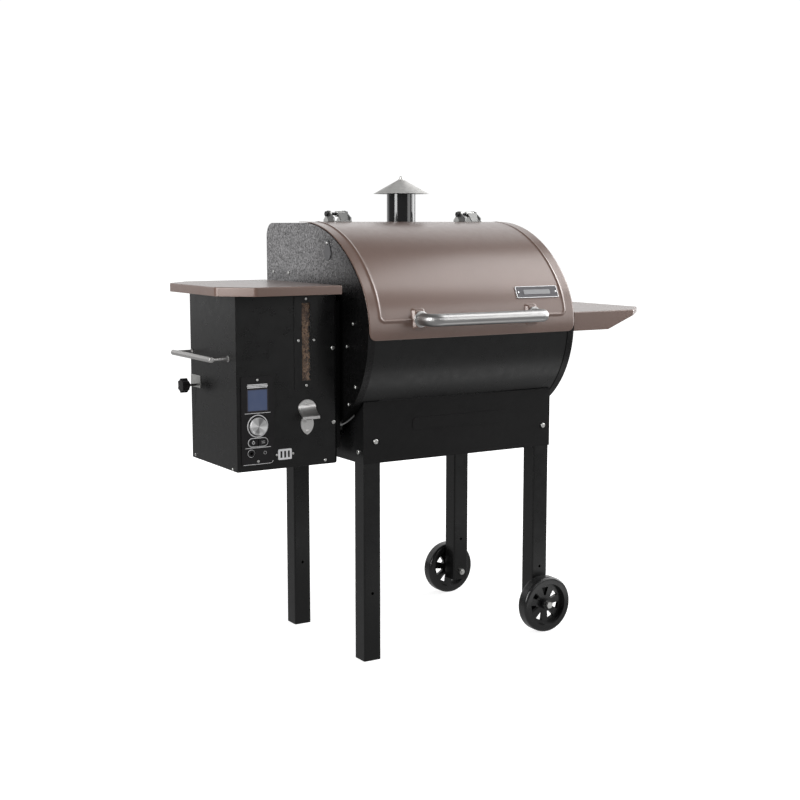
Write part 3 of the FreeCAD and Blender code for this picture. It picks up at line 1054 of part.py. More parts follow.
# ---------------------------------------------------------------- build everything
def main():
    os.makedirs("parts", exist_ok=True)
    right_x = STAND_RIGHT - LEG
    back_y = STAND_BACK - LEG
    save("leg_front_left", leg(STAND_LEFT, STAND_FRONT, 0.0))
    save("leg_rear_left", leg(STAND_LEFT, back_y, 0.0))
    save("leg_front_right", leg(right_x, STAND_FRONT, RIGHT_LEG_BOTTOM))
    save("leg_rear_right", leg(right_x, back_y, RIGHT_LEG_BOTTOM))
    save("front_apron", front_apron())
    save("rear_skirt", rear_skirt())
    save("side_skirt_left", side_skirt(STAND_LEFT - SHEET))
    save("side_skirt_right", side_skirt(STAND_RIGHT))
    save("wheel_front", wheel(STAND_FRONT - WHEEL_GAP - WHEEL_WIDTH))
    save("wheel_rear", wheel(STAND_BACK + WHEEL_GAP))
    front_bolt = axle_bolt(STAND_FRONT - WHEEL_GAP - WHEEL_WIDTH - 2, STAND_FRONT + LEG)
    rear_bolt = axle_bolt(STAND_BACK + WHEEL_GAP + WHEEL_WIDTH + 2, STAND_BACK - LEG)
    save("axle_bolts", group(front_bolt + rear_bolt))

    save("barrel_shell", barrel_shell())
    save("end_panel_left", left_end_panel())
    save("end_panel_right", end_panel(BARREL_RIGHT, -1, 777.0))
    save("barrel_lid", fuse([barrel_lid(), handle_pad(-1), handle_pad(1)]))
    save("lid_handle", lid_handle())
    save("handle_flanges", handle_flanges())
    save("nameplate", nameplate())
    save("hinge_lid_leaves", group([hinge_lid_leaf(x) for x in HINGE_PLACES]))
    save("hinge_barrel_leaves", group([hinge_barrel_leaf(x) for x in HINGE_PLACES]))
    save("hinge_pins", group([hinge_pin(x) for x in HINGE_PLACES] + [hopper_hinge_pin()]))
    save("chimney_flue", chimney_flue())
    save("chimney_cap", chimney_cap())
    save("probe_port_cover", probe_port_cover())
    save("panel_fasteners", panel_fasteners())
    save("temperature_probe", temperature_probe())

    save("hopper_shell", hopper_shell())
    save("hopper_side_panel", hopper_side_panel())
    save("hopper_bin", hopper_bin())
    save("hopper_guard", hopper_guard())
    save("hopper_lid", hopper_lid())
    save("hopper_top_strip", hopper_top_strip())
    save("window_frame", window_frame())
    save("window_pane", window_pane())
    save("wood_pellets", wood_pellets())
    save("controller_panel", controller_panel())
    save("lcd_display", lcd_display())
    save("control_knob", control_knob())
    save("button_left", button(-1))
    save("button_right", button(1))
    save("badge_plate", badge_plate())
    save("bottle_opener", bottle_opener())
    save("hopper_handle", hopper_handle())
    save("purge_gate", purge_gate())
    save("purge_knob", purge_knob())
    save("power_inlet", power_inlet())

    save("auger_tube", auger_tube())
    save("auger_screw", auger_screw())
    save("auger_motor", auger_motor())
    save("blower_housing", blower_housing())
    save("blower_impeller", blower_impeller())
    save("fire_pot", fire_pot())
    save("ash_shutter", ash_shutter())
    save("ash_cup", ash_cup())
    save("igniter_rod", igniter_rod())
    save("heat_deflector", heat_deflector())
    save("grease_tray", grease_tray())
    save("cooking_grates", group(cooking_grate(BARREL_LEFT + 4, FIRE_X - 2)
                                 + cooking_grate(FIRE_X + 2, BARREL_RIGHT - 4)))
    save("warming_rack", warming_rack())
    save("side_shelf", side_shelf())


main()
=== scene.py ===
"""Looks of the pellet smoker grill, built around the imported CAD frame.  Metres, Z up."""
import bpy
import bmesh
import json
import math
import random
from mathutils import Matrix, Vector


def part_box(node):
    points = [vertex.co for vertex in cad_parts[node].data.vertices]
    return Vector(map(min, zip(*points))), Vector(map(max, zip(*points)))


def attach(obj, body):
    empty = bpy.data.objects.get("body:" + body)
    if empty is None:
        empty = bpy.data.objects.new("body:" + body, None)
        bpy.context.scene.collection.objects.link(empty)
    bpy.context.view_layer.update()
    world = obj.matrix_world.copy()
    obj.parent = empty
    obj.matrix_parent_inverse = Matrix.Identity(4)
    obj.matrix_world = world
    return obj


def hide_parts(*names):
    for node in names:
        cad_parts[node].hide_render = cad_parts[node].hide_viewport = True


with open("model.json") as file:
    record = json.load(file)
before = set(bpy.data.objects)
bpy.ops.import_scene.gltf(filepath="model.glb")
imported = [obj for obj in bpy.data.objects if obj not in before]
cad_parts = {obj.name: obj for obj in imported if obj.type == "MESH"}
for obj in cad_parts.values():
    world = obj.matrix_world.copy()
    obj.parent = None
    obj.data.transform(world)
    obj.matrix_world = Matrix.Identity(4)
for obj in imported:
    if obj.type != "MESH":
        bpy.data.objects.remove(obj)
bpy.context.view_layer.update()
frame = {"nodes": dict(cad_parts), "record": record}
nodes = frame["nodes"]
scene = bpy.context.scene
rng = random.Random(7)

# ------------------------------------------------------------------ dimensions, as in the CAD
STAND_LEFT = -0.274
STAND_FRONT = -0.168
BARREL_LEFT = STAND_LEFT - 0.028
BARREL_RIGHT = BARREL_LEFT + 0.650
BARREL_MID = BARREL_LEFT + 0.325
BARREL_FRONT = STAND_FRONT - 0.075
BARREL_BACK = STAND_FRONT + 0.493
BARREL_TOP = 1.142
CROWN_RADIUS = 0.382
BROW_RADIUS = 0.204
BELLY_RADIUS = 0.268
CROWN_TURN = math.radians(54.0)
BROW_Y = BARREL_FRONT + BROW_RADIUS
CROWN_Y = BROW_Y + (CROWN_RADIUS - BROW_RADIUS) * math.sin(CROWN_TURN)
CROWN_Z = BARREL_TOP - CROWN_RADIUS
BROW_Z = CROWN_Z + (CROWN_RADIUS - BROW_RADIUS) * math.cos(CROWN_TURN)
LID_BOTTOM = 0.847
HINGE_Y = STAND_FRONT + 0.300
HANDLE_Z = 0.8975
HANDLE_SPREAD = 0.178
HOPPER_FRONT = STAND_FRONT + 0.051
FIRE_Y = (BARREL_FRONT + BARREL_BACK) / 2
KNOB_Z = 0.638
BUTTON_Z = 0.5985
DISPLAY_Z = 0.7035
CONTROL_X = STAND_LEFT - 0.2755
BADGE_X = STAND_LEFT - 0.200
BADGE_Z = 0.5615
SHEET = 0.0015  # thickness of the painted covers
FOLD = 0.003  # how far a fold's rounding reaches from its corner
HOPPER_LID_TOP = 0.985
HOPPER_LID_SKIRT = 0.022
HOPPER_LID_CHAMFER = 0.074
HOPPER_LID_CORNER = 0.016
SHELF_TOP = 0.898
SHELF_CHAMFER = 0.100
SHELF_SKIRT = 0.052
SHELF_LIP = 0.016


# ------------------------------------------------------------------ materials
class Shader:
    """Small helper that wires a Principled material from procedural textures."""

    def __init__(self, name, colour, roughness, metallic=0.0, **sockets):
        self.mat = bpy.data.materials.new(name)
        self.mat.use_nodes = True
        self.tree = self.mat.node_tree
        self.bsdf = self.tree.nodes["Principled BSDF"]
        self.colour = colour
        self.roughness = roughness
        self.set("Metallic", metallic)
        for socket, value in sockets.items():
            self.set(socket.replace("_", " "), value)
        self.coords = self.tree.nodes.new("ShaderNodeTexCoord")
        self.height = None

    def set(self, socket, value):
        self.bsdf.inputs[socket].default_value = value

    def link(self, out, into):
        self.tree.links.new(out, into)

    def placed(self, stretch=(1, 1, 1)):
        mapping = self.tree.nodes.new("ShaderNodeMapping")
        mapping.inputs["Scale"].default_value = stretch
        self.link(self.coords.outputs["Object"], mapping.inputs["Vector"])
        return mapping.outputs["Vector"]

    def noise(self, scale, detail=3.0, stretch=(1, 1, 1), rough=0.55):
        node = self.tree.nodes.new("ShaderNodeTexNoise")
        node.inputs["Scale"].default_value = scale
        node.inputs["Detail"].default_value = detail
        node.inputs["Roughness"].default_value = rough
        self.link(self.placed(stretch), node.inputs["Vector"])
        return node.outputs["Fac"]

    def cells(self, scale, feature="F1"):
        node = self.tree.nodes.new("ShaderNodeTexVoronoi")
        node.feature = feature
        node.inputs["Scale"].default_value = scale
        self.link(self.placed(), node.inputs["Vector"])
        return node

    def ranged(self, value, low, high, to_low, to_high):
        node = self.tree.nodes.new("ShaderNodeMapRange")
        limits = (("From Min", low), ("From Max", high), ("To Min", to_low), ("To Max", to_high))
        for key, number in limits:
            node.inputs[key].default_value = number
        self.link(value, node.inputs["Value"])
        return node.outputs["Result"]

    def math(self, operation, first, second):
        node = self.tree.nodes.new("ShaderNodeMath")
        node.operation = operation
        for socket, value in zip(node.inputs, (first, second)):
            if isinstance(value, (int, float)):
                socket.default_value = value
            else:
                self.link(value, socket)
        return node.outputs["Value"]

    def mixed(self, factor, first, second):
        """Colour mix; first and second are colours or sockets."""
        node = self.tree.nodes.new("ShaderNodeMix")
        node.data_type = "RGBA"
        self.link(factor, node.inputs["Factor"])
        for key, value in (("A", first), ("B", second)):
            socket = [s for s in node.inputs if s.name == key and s.type == "RGBA"][0]
            if isinstance(value, tuple):
                socket.default_value = (*value, 1.0)
            else:
                self.link(value, socket)
        return [s for s in node.outputs if s.type == "RGBA"][0]

    def finish_colour(self, socket):
        self.link(socket, self.bsdf.inputs["Base Color"])

    def finish_roughness(self, value, spread):
        self.link(self.ranged(value, 0.3, 0.7, self.roughness - spread, self.roughness + spread),
                  self.bsdf.inputs["Roughness"])

    def bump(self, value, strength, distance):
        node = self.tree.nodes.new("ShaderNodeBump")
        node.inputs["Strength"].default_value = strength
        node.inputs["Distance"].default_value = distance
        self.link(value, node.inputs["Height"])
        if self.height is not None:
            self.link(self.height, node.inputs["Normal"])
        self.height = node.outputs["Normal"]
        self.link(self.height, self.bsdf.inputs["Normal"])


def shade(colour, factor):
    return tuple(min(1.0, c * factor) for c in colour)


def painted(name, colour, roughness, grain=900.0, grain_depth=0.00006, spread=0.06, dust=0.10, **sockets):
    """Painted or moulded surface: cloudy tone, fine grain, a little dust and rubbed spots."""
    s = Shader(name, colour, roughness, **sockets)
    cloud = s.noise(6.0, 4.0)
    tone = s.mixed(s.ranged(cloud, 0.35, 0.65, 0.0, 1.0), shade(colour, 0.86), shade(colour, 1.14))
    specks = s.ranged(s.noise(420.0, 2.0), 0.66, 0.74, 0.0, dust)
    dusty = s.mixed(specks, tone, (0.32, 0.31, 0.29))
    s.finish_colour(dusty)
    s.finish_roughness(s.noise(38.0, 5.0), spread)
    s.bump(s.noise(grain, 2.0), 0.6, grain_depth)
    s.bump(s.noise(3.0, 2.0), 0.25, 0.0006)
    return s.mat


def brushed(name, colour, roughness, along, spread=0.06, scratch=0.00003, metallic=1.0, **sockets):
    """Metal with fine lines along one axis; along is the stretch of the line texture."""
    s = Shader(name, colour, roughness, metallic, **sockets)
    lines = s.noise(1.0, 4.0, along, 0.7)
    cloud = s.noise(9.0, 3.0)
    tone = s.mixed(s.ranged(lines, 0.3, 0.7, 0.0, 1.0), shade(colour, 0.88), shade(colour, 1.06))
    stained = s.mixed(s.ranged(cloud, 0.55, 0.8, 0.0, 0.35), tone, shade(colour, 0.75))
    s.finish_colour(stained)
    s.finish_roughness(lines, spread)
    s.bump(lines, 0.5, scratch)
    return s.mat


def turned(name, colour, roughness):
    """Lathe-turned dial with painted highlights: the colour lightens in wedge-shaped sectors that run out
    from the dial's middle, and darkens between them.
    """
    s = Shader(name, colour, roughness, 0.6)
    place = s.tree.nodes.new("ShaderNodeSeparateXYZ")
    s.link(s.coords.outputs["Object"], place.inputs["Vector"])
    # Painted highlight and shade: bright and dark sectors round the knob's middle stand in for light on a
    # turned face.
    across = s.math("SUBTRACT", place.outputs["X"], CONTROL_X)
    up = s.math("SUBTRACT", place.outputs["Z"], KNOB_Z)
    angle = s.math("ARCTAN2", up, across)
    wide = s.math("COSINE", s.math("ADD", s.math("MULTIPLY", angle, 2.0), 0.7), 0.0)
    narrow = s.math("COSINE", s.math("ADD", s.math("MULTIPLY", angle, 6.0), 1.9), 0.0)
    painted_highlight_wedges = s.math("ADD", wide, s.math("MULTIPLY", narrow, 0.45))
    light = s.ranged(painted_highlight_wedges, -1.0, 1.2, 0.0, 1.0)
    s.finish_colour(s.mixed(light, shade(colour, 0.32), shade(colour, 1.22)))
    s.finish_roughness(s.noise(60.0, 3.0), 0.03)
    return s.mat


def hammered(name, colour, roughness):
    """Speckled hammered paint; it darkens low down and to the front, in place of shade there."""
    s = Shader(name, colour, roughness, 0.9)
    dimples = s.cells(330.0, "SMOOTH_F1")
    cloud = s.noise(260.0, 4.0)
    tone = s.mixed(s.ranged(cloud, 0.38, 0.62, 0.0, 1.0), shade(colour, 0.45), shade(colour, 1.9))
    place = s.tree.nodes.new("ShaderNodeSeparateXYZ")
    s.link(s.coords.outputs["Object"], place.inputs["Vector"])
    # Painted shade: below the hopper lid's height and towards the front, the paint turns almost black.
    high = s.ranged(place.outputs["Z"], 0.92, 1.02, 0.0, 1.0)
    behind = s.ranged(place.outputs["Y"], -0.24, 0.06, 0.0, 1.0)
    s.finish_colour(s.mixed(s.math("MULTIPLY", high, behind), shade(colour, 0.10), tone))
    s.finish_roughness(s.noise(120.0, 3.0), 0.10)
    s.bump(dimples.outputs["Distance"], 0.55, 0.0006)
    s.bump(cloud, 0.35, 0.0005)
    return s.mat


def galvanised(name, colour, roughness):
    s = Shader(name, colour, roughness, 0.75)
    spangle = s.cells(85.0)
    tint = s.ranged(spangle.outputs["Color"], 0.0, 1.0, 0.0, 1.0)
    tone = s.mixed(tint, shade(colour, 0.9), shade(colour, 1.06))
    s.finish_colour(s.mixed(s.ranged(s.noise(14.0, 4.0), 0.55, 0.8, 0.0, 0.4), tone, shade(colour, 0.78)))
    s.finish_roughness(s.noise(60.0, 4.0), 0.08)
    s.bump(s.noise(500.0, 2.0), 0.4, 0.00005)
    return s.mat


def bronze_paint(name):
    """Metallic satin paint: fine flake, faint orange peel and soft clear coat."""
    colour = (0.164, 0.099, 0.077)
    s = Shader(name, colour, 0.42, 0.15, Coat_Weight=1.0, Coat_Roughness=0.27)
    flake = s.cells(2600.0)
    tint = s.ranged(flake.outputs["Color"], 0.0, 1.0, 0.0, 1.0)
    tone = s.mixed(tint, shade(colour, 0.86), shade(colour, 1.18))
    cloud = s.ranged(s.noise(5.0, 4.0), 0.35, 0.7, 0.0, 0.5)
    s.finish_colour(s.mixed(cloud, tone, shade(colour, 0.88)))
    s.finish_roughness(s.noise(45.0, 4.0), 0.04)
    s.bump(s.noise(380.0, 2.0), 0.35, 0.00005)
    return s.mat


def heated_steel(name):
    """Bare steel browned by heat, with darker patches of smoke."""
    colour = (0.30, 0.27, 0.24)
    s = Shader(name, colour, 0.42, 0.85)
    heat = s.ranged(s.noise(7.0, 5.0), 0.35, 0.65, 0.0, 1.0)
    warm = s.mixed(heat, (0.34, 0.30, 0.27), (0.20, 0.15, 0.11))
    s.finish_colour(s.mixed(s.ranged(s.noise(18.0, 5.0), 0.5, 0.75, 0.0, 0.8), warm, (0.05, 0.045, 0.04)))
    s.finish_roughness(s.noise(50.0, 4.0), 0.12)
    s.bump(s.noise(220.0, 4.0), 0.4, 0.00012)
    return s.mat


def cast_iron(name):
    s = Shader(name, (0.07, 0.066, 0.062), 0.68, 0.6)
    s.finish_colour(s.mixed(s.ranged(s.noise(40.0, 5.0), 0.35, 0.7, 0.0, 1.0), (0.085, 0.08, 0.075),
                            (0.035, 0.03, 0.027)))
    s.finish_roughness(s.noise(90.0, 4.0), 0.12)
    s.bump(s.noise(420.0, 4.0), 0.8, 0.0004)
    return s.mat


def wood(name):
    """Pressed pellets: each cell of the texture gives one pellet its own brown."""
    s = Shader(name, (0.36, 0.22, 0.13), 0.75)
    tint = s.ranged(s.cells(110.0).outputs["Color"], 0.1, 0.9, 0.0, 1.0)
    base = s.mixed(tint, (0.09, 0.046, 0.026), (0.46, 0.29, 0.18))
    fibres = s.ranged(s.noise(900.0, 4.0), 0.45, 0.7, 0.0, 0.6)
    s.finish_colour(s.mixed(fibres, base, (0.15, 0.08, 0.045)))
    s.finish_roughness(s.noise(300.0, 3.0), 0.1)
    s.bump(s.noise(900.0, 4.0), 0.7, 0.0003)
    return s.mat


def display(name):
    """Blue display: faint pixel grid under a glossy window, with a faint painted glow."""
    # Painted glow: a weak blue emission brightens the screen.
    s = Shader(name, (0.045, 0.062, 0.12), 0.16, Coat_Weight=0.6, Coat_Roughness=0.08,
               Emission_Color=(0.16, 0.22, 0.42, 1.0), Emission_Strength=0.14)
    wave = s.tree.nodes.new("ShaderNodeTexWave")
    wave.inputs["Scale"].default_value = 260.0
    wave.bands_direction = "Z"
    s.link(s.placed(), wave.inputs["Vector"])
    tone = s.mixed(wave.outputs["Fac"], (0.040, 0.055, 0.108), (0.050, 0.070, 0.135))
    s.finish_colour(s.mixed(s.ranged(s.noise(30.0, 3.0), 0.4, 0.6, 0.0, 0.5), tone, (0.06, 0.075, 0.13)))
    s.finish_roughness(s.noise(60.0, 3.0), 0.03)
    return s.mat


def clear_plastic(name):
    s = Shader(name, (0.75, 0.76, 0.78), 0.06, Alpha=0.05, Coat_Weight=0.2)
    haze = s.ranged(s.noise(12.0, 4.0), 0.4, 0.7, 0.0, 1.0)
    s.finish_colour(s.mixed(haze, (0.78, 0.79, 0.8), (0.68, 0.68, 0.68)))
    s.finish_roughness(s.noise(160.0, 4.0), 0.05)
    return s.mat


MAT = {
    "black_powder_coat": painted("black_powder_coat", (0.0062, 0.0062, 0.0064), 0.31, 500.0, 0.00003,
                                 dust=0.003, Specular_IOR_Level=0.42),
    "bronze_paint": bronze_paint("bronze_paint"),
    "hammered_grey_paint": hammered("hammered_grey_paint", (0.27, 0.265, 0.27), 0.33),
    "stainless_steel": brushed("stainless_steel", (0.68, 0.67, 0.66), 0.33, (25.0, 900.0, 900.0),
                               Anisotropic=0.5),
    "satin_handle": brushed("satin_handle", (0.45, 0.445, 0.44), 0.38, (25.0, 900.0, 900.0),
                            Anisotropic=0.5),
    "cast_alloy": brushed("cast_alloy", (0.72, 0.71, 0.70), 0.40, (300.0, 300.0, 300.0)),
    "hinge_zinc": brushed("hinge_zinc", (0.30, 0.30, 0.295), 0.42, (220.0, 220.0, 220.0)),
    "zinc_plated_steel": brushed("zinc_plated_steel", (0.74, 0.74, 0.72), 0.33, (160.0, 160.0, 160.0)),
    "galvanised_sheet": galvanised("galvanised_sheet", (0.74, 0.73, 0.71), 0.46),
    "gloss_black_enamel": painted("gloss_black_enamel", (0.010, 0.010, 0.011), 0.10, 300.0, 0.00002,
                                  0.03, 0.03, Coat_Weight=0.5, Coat_Roughness=0.04),
    "black_plastic": painted("black_plastic", (0.009, 0.0083, 0.0093), 0.46, 900.0, 0.00005, dust=0.01,
                             Specular_IOR_Level=0.30),
    "bezel_plastic": painted("bezel_plastic", (0.035, 0.030, 0.036), 0.35, 900.0, 0.00004, dust=0.02),
    "wheel_plastic": painted("wheel_plastic", (0.010, 0.010, 0.0104), 0.24, 500.0, 0.00005, dust=0.03,
                             Coat_Weight=0.2, Coat_Roughness=0.12),
    "cast_iron": cast_iron("cast_iron"),
    "bare_steel": heated_steel("bare_steel"),
    "plate_metal": brushed("plate_metal", (0.20, 0.20, 0.205), 0.38, (40.0, 500.0, 500.0)),
    "plate_field": brushed("plate_field", (0.085, 0.080, 0.090), 0.48, (40.0, 500.0, 500.0), metallic=0.0),
    "plate_bar": brushed("plate_bar", (0.34, 0.34, 0.35), 0.42, (40.0, 500.0, 500.0), metallic=0.0),
    "apron_paint": painted("apron_paint", (0.0060, 0.0058, 0.0060), 0.60, 700.0, 0.00005, dust=0.006,
                           Specular_IOR_Level=0.20),
    "plate_silver": brushed("plate_silver", (0.64, 0.64, 0.65), 0.30, (60.0, 400.0, 400.0)),
    "blackened_steel": painted("blackened_steel", (0.035, 0.035, 0.036), 0.34, 600.0, 0.00006, metallic=0.6),
    "grey_paint": painted("grey_paint", (0.10, 0.10, 0.104), 0.45, 700.0, 0.00006, dust=0.12),
    "clear_plastic": clear_plastic("clear_plastic"),
    "pellet_wood": wood("pellet_wood"),
    "display_glass": display("display_glass"),
    "turned_aluminium": turned("turned_aluminium", (0.82, 0.82, 0.83), 0.36),
    "knob_aluminium": brushed("knob_aluminium", (0.74, 0.74, 0.745), 0.24, (500.0, 500.0, 500.0),
                              Anisotropic=0.7),
    "motor_steel": painted("motor_steel", (0.16, 0.16, 0.165), 0.42, 500.0, 0.00006, metallic=0.4),
    "grate_enamel": painted("grate_enamel", (0.018, 0.018, 0.019), 0.30, 260.0, 0.00012, dust=0.04),
    "print_silver": painted("print_silver", (0.80, 0.80, 0.81), 0.45, 900.0, 0.00002, dust=0.02),
}


def dress(name, look):
    """Gives a CAD node one look all over."""
    looks = nodes[name].data.materials
    if not looks:
        looks.append(MAT[look])
    for index in range(len(looks)):
        looks[index] = MAT[look]


for entry in frame["record"]["subparts"]:
    dress(entry["node"], entry["material_slot"])
for name, look in (("front_apron", "apron_paint"), ("lid_handle", "satin_handle"),
                   ("hinge_lid_leaves", "hinge_zinc"), ("bottle_opener", "cast_alloy")):
    dress(name, look)


# ------------------------------------------------------------------ geometry helpers
def add_piece(name, mesh, body, slot, material=None, replaces=(), smooth_angle=35.0):
    """Links a mesh as a named piece that rides on a CAD body."""
    piece = bpy.data.objects.new(name, mesh)
    scene.collection.objects.link(piece)
    mesh.materials.append(MAT[material or slot])
    if smooth_angle:
        mesh.shade_smooth()
        mesh.set_sharp_from_angle(angle=math.radians(smooth_angle))
    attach(piece, body)
    if replaces:
        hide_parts(*replaces)
    return piece


def mesh_from(name, verts, faces):
    mesh = bpy.data.meshes.new(name)
    mesh.from_pydata([tuple(v) for v in verts], [], faces)
    mesh.validate()
    return mesh


KNUCKLE_TURN = 0.985  # share of a full turn, so that a rolled eye doesn't touch its own start


class Shapes:
    """Gathers several closed shapes into one mesh."""

    def __init__(self):
        self.verts = []
        self.faces = []

    def skin(self, loops, ring=False):
        """Joins equal loops in order; the two ends are capped, or joined to each other for a ring."""
        count = len(loops[0])
        start = len(self.verts)
        for loop in loops:
            self.verts += [tuple(point) for point in loop]
        for i in range(len(loops) if ring else len(loops) - 1):
            a = start + i * count
            b = start + (i + 1) % len(loops) * count
            for k in range(count):
                n = (k + 1) % count
                self.faces.append((a + k, a + n, b + n, b + k))
        if not ring:
            self.faces.append(tuple(range(start + count - 1, start - 1, -1)))
            end = start + (len(loops) - 1) * count
            self.faces.append(tuple(range(end, end + count)))

    def plate(self, place, outline, low, high, ease=0.0002):
        """Convex outline (u, v) from height low to high, with an eased upper rim."""
        mid_u = sum(u for u, v in outline) / len(outline)
        mid_v = sum(v for u, v in outline) / len(outline)
        size = max(math.hypot(u - mid_u, v - mid_v) for u, v in outline)
        keep = 1.0 - ease / size
        loops = [[place(u, v, low) for u, v in outline], [place(u, v, high - ease) for u, v in outline],
                 [place(mid_u + (u - mid_u) * keep, mid_v + (v - mid_v) * keep, high) for u, v in outline]]
        self.skin(loops)

    def ribbon(self, place, path, half, low, high, closed=True):
        """Flat strip of width 2 * half along a path (u, v), standing from low to high."""
        count = len(path)
        loops = []
        for i, (u, v) in enumerate(path):
            ahead = path[(i + 1) % count] if closed or i + 1 < count else path[i]
            behind = path[i - 1] if closed or i else path[i]
            du = ahead[0] - behind[0]
            dv = ahead[1] - behind[1]
            length = math.hypot(du, dv)
            nu = -dv / length * half
            nv = du / length * half
            loops.append([place(u + nu, v + nv, low), place(u + nu, v + nv, high),
                          place(u - nu, v - nv, high), place(u - nu, v - nv, low)])
        self.skin(loops, ring=closed)

    def lathe(self, centre, axis, profile, segments=48):
        """Turns (radius, height) pairs about an axis."""
        axis = Vector(axis).normalized()
        side = axis.orthogonal().normalized()
        other = axis.cross(side)
        loops = []
        for radius, height in profile:
            loop = []
            for k in range(segments):
                angle = 2 * math.pi * k / segments
                spoke = side * math.cos(angle) + other * math.sin(angle)
                loop.append(Vector(centre) + axis * height + spoke * radius)
            loops.append(loop)
        self.skin(loops)

    def rolled_knuckle(self, x, z, y0, y1, outer, inner, tab_x):
        """Hinge eye about (x, z) along Y, rolled from a tab that reaches back to tab_x."""
        steps = 28
        loops = []
        for k in range(steps + 1):
            angle = math.pi / 2 + 2 * math.pi * k / steps * KNUCKLE_TURN
            loops.append([Vector((x + math.cos(angle) * r, y, z + math.sin(angle) * r))
                          for r, y in ((inner, y0), (outer, y0), (outer, y1), (inner, y1))])
        self.skin(loops)
        tab_end = x + 0.0004
        tab = ((tab_x, z + inner), (tab_end, z + inner), (tab_end, z + outer), (tab_x, z + outer))
        self.skin([[Vector((px, y, pz)) for px, pz in tab] for y in (y0, y1)])

    def mesh(self, name):
        made = mesh_from(name, self.verts, self.faces)
        bm = bmesh.new()
        bm.from_mesh(made)
        bmesh.ops.recalc_face_normals(bm, faces=bm.faces)
        bm.to_mesh(made)
        bm.free()
        return made


def rounded_box(half_u, half_v, radius, mid_u=0.0, mid_v=0.0, steps=6):
    """Outline of a rectangle with round corners, counter-clockwise."""
    outline = []
    for corner in range(4):
        cu = (half_u - radius) * (1 if corner in (0, 3) else -1)
        cv = (half_v - radius) * (1 if corner in (0, 1) else -1)
        for k in range(steps + 1):
            angle = math.pi / 2 * (corner + k / steps)
            outline.append((mid_u + cu + radius * math.cos(angle), mid_v + cv + radius * math.sin(angle)))
    return outline


def circle(radius, mid_u=0.0, mid_v=0.0, steps=48):
    turns = [2 * math.pi * k / steps for k in range(steps)]
    return [(mid_u + radius * math.cos(turn), mid_v + radius * math.sin(turn)) for turn in turns]


def modifier(piece, kind, **values):
    made = piece.modifiers.new(kind.lower(), kind)
    for key, value in values.items():
        setattr(made, key, value)
    return made


def folded_sheet(name, skins, body, slot, replaces=()):
    """Sheet metal from its outer faces: folds rounded, thickness inwards, rims eased."""
    bm = bmesh.new()
    for skin in skins:
        bm.faces.new([bm.verts.new(p) for p in skin])
    bmesh.ops.remove_doubles(bm, verts=bm.verts, dist=1e-5)
    folds = [e for e in bm.edges if len(e.link_faces) == 2 and e.calc_face_angle() > 0.1]
    bmesh.ops.bevel(bm, geom=folds, offset=FOLD, segments=4, profile=0.5, affect="EDGES",
                    clamp_overlap=True)
    mesh = bpy.data.meshes.new(name)
    bm.to_mesh(mesh)
    bm.free()
    piece = add_piece(name, mesh, body, slot, replaces=replaces, smooth_angle=30.0)
    modifier(piece, "SOLIDIFY", thickness=SHEET, offset=-1.0)
    modifier(piece, "BEVEL", width=0.0005, segments=2, limit_method="ANGLE", angle_limit=math.radians(50))
    modifier(piece, "WEIGHTED_NORMAL", keep_sharp=False)


def barrel_point(s, inset=0.0):
    """Point and outward normal (y, z) at arc length s along the lid's outline, from its front edge up."""
    low_angle = math.asin((BROW_Z - LID_BOTTOM) / BELLY_RADIUS)
    low = BELLY_RADIUS * low_angle
    brow_sweep = math.pi / 2 - CROWN_TURN
    brow = BROW_RADIUS * brow_sweep
    if s < low:
        angle = math.pi + low_angle - s / BELLY_RADIUS
        centre = (BARREL_FRONT + BELLY_RADIUS, BROW_Z)
        radius = BELLY_RADIUS
    elif s < low + brow:
        angle = math.pi - (s - low) / BROW_RADIUS
        centre = (BROW_Y, BROW_Z)
        radius = BROW_RADIUS
    else:
        angle = math.pi - brow_sweep - (s - low - brow) / CROWN_RADIUS
        if angle < math.pi / 2:
            flat = (math.pi / 2 - angle) * CROWN_RADIUS
            return (CROWN_Y + flat, BARREL_TOP - inset), (0.0, 1.0)
        centre = (CROWN_Y, CROWN_Z)
        radius = CROWN_RADIUS
    normal = (math.cos(angle), math.sin(angle))
    point = (centre[0] + normal[0] * (radius - inset), centre[1] + normal[1] * (radius - inset))
    return point, normal


def lid_length():
    """Arc length of the lid's outline, from its front edge to just short of the hinge."""
    low = BELLY_RADIUS * math.asin((BROW_Z - LID_BOTTOM) / BELLY_RADIUS)
    crown = BROW_RADIUS * (math.pi / 2 - CROWN_TURN) + CROWN_RADIUS * CROWN_TURN
    return low + crown + (HINGE_Y - 0.003 - CROWN_Y)


# ------------------------------------------------------------------ barrel lid
PAD_HEIGHT = 0.0105
PAD_HALF_WIDTH = 0.0115
PAD_HALF_DEPTH = 0.0195
PAD_SLOPE = 0.009
BEAD_INSET = 0.034
BEAD_Z = 0.8945
BEAD_TURN = 0.014
BEAD_HEIGHT = 0.0022
BEAD_SPREAD = 0.0034
CORNER_RADIUS = 0.020
CORNER_BLEND = 0.1  # how far up the lid its rounded lower corners move the grid


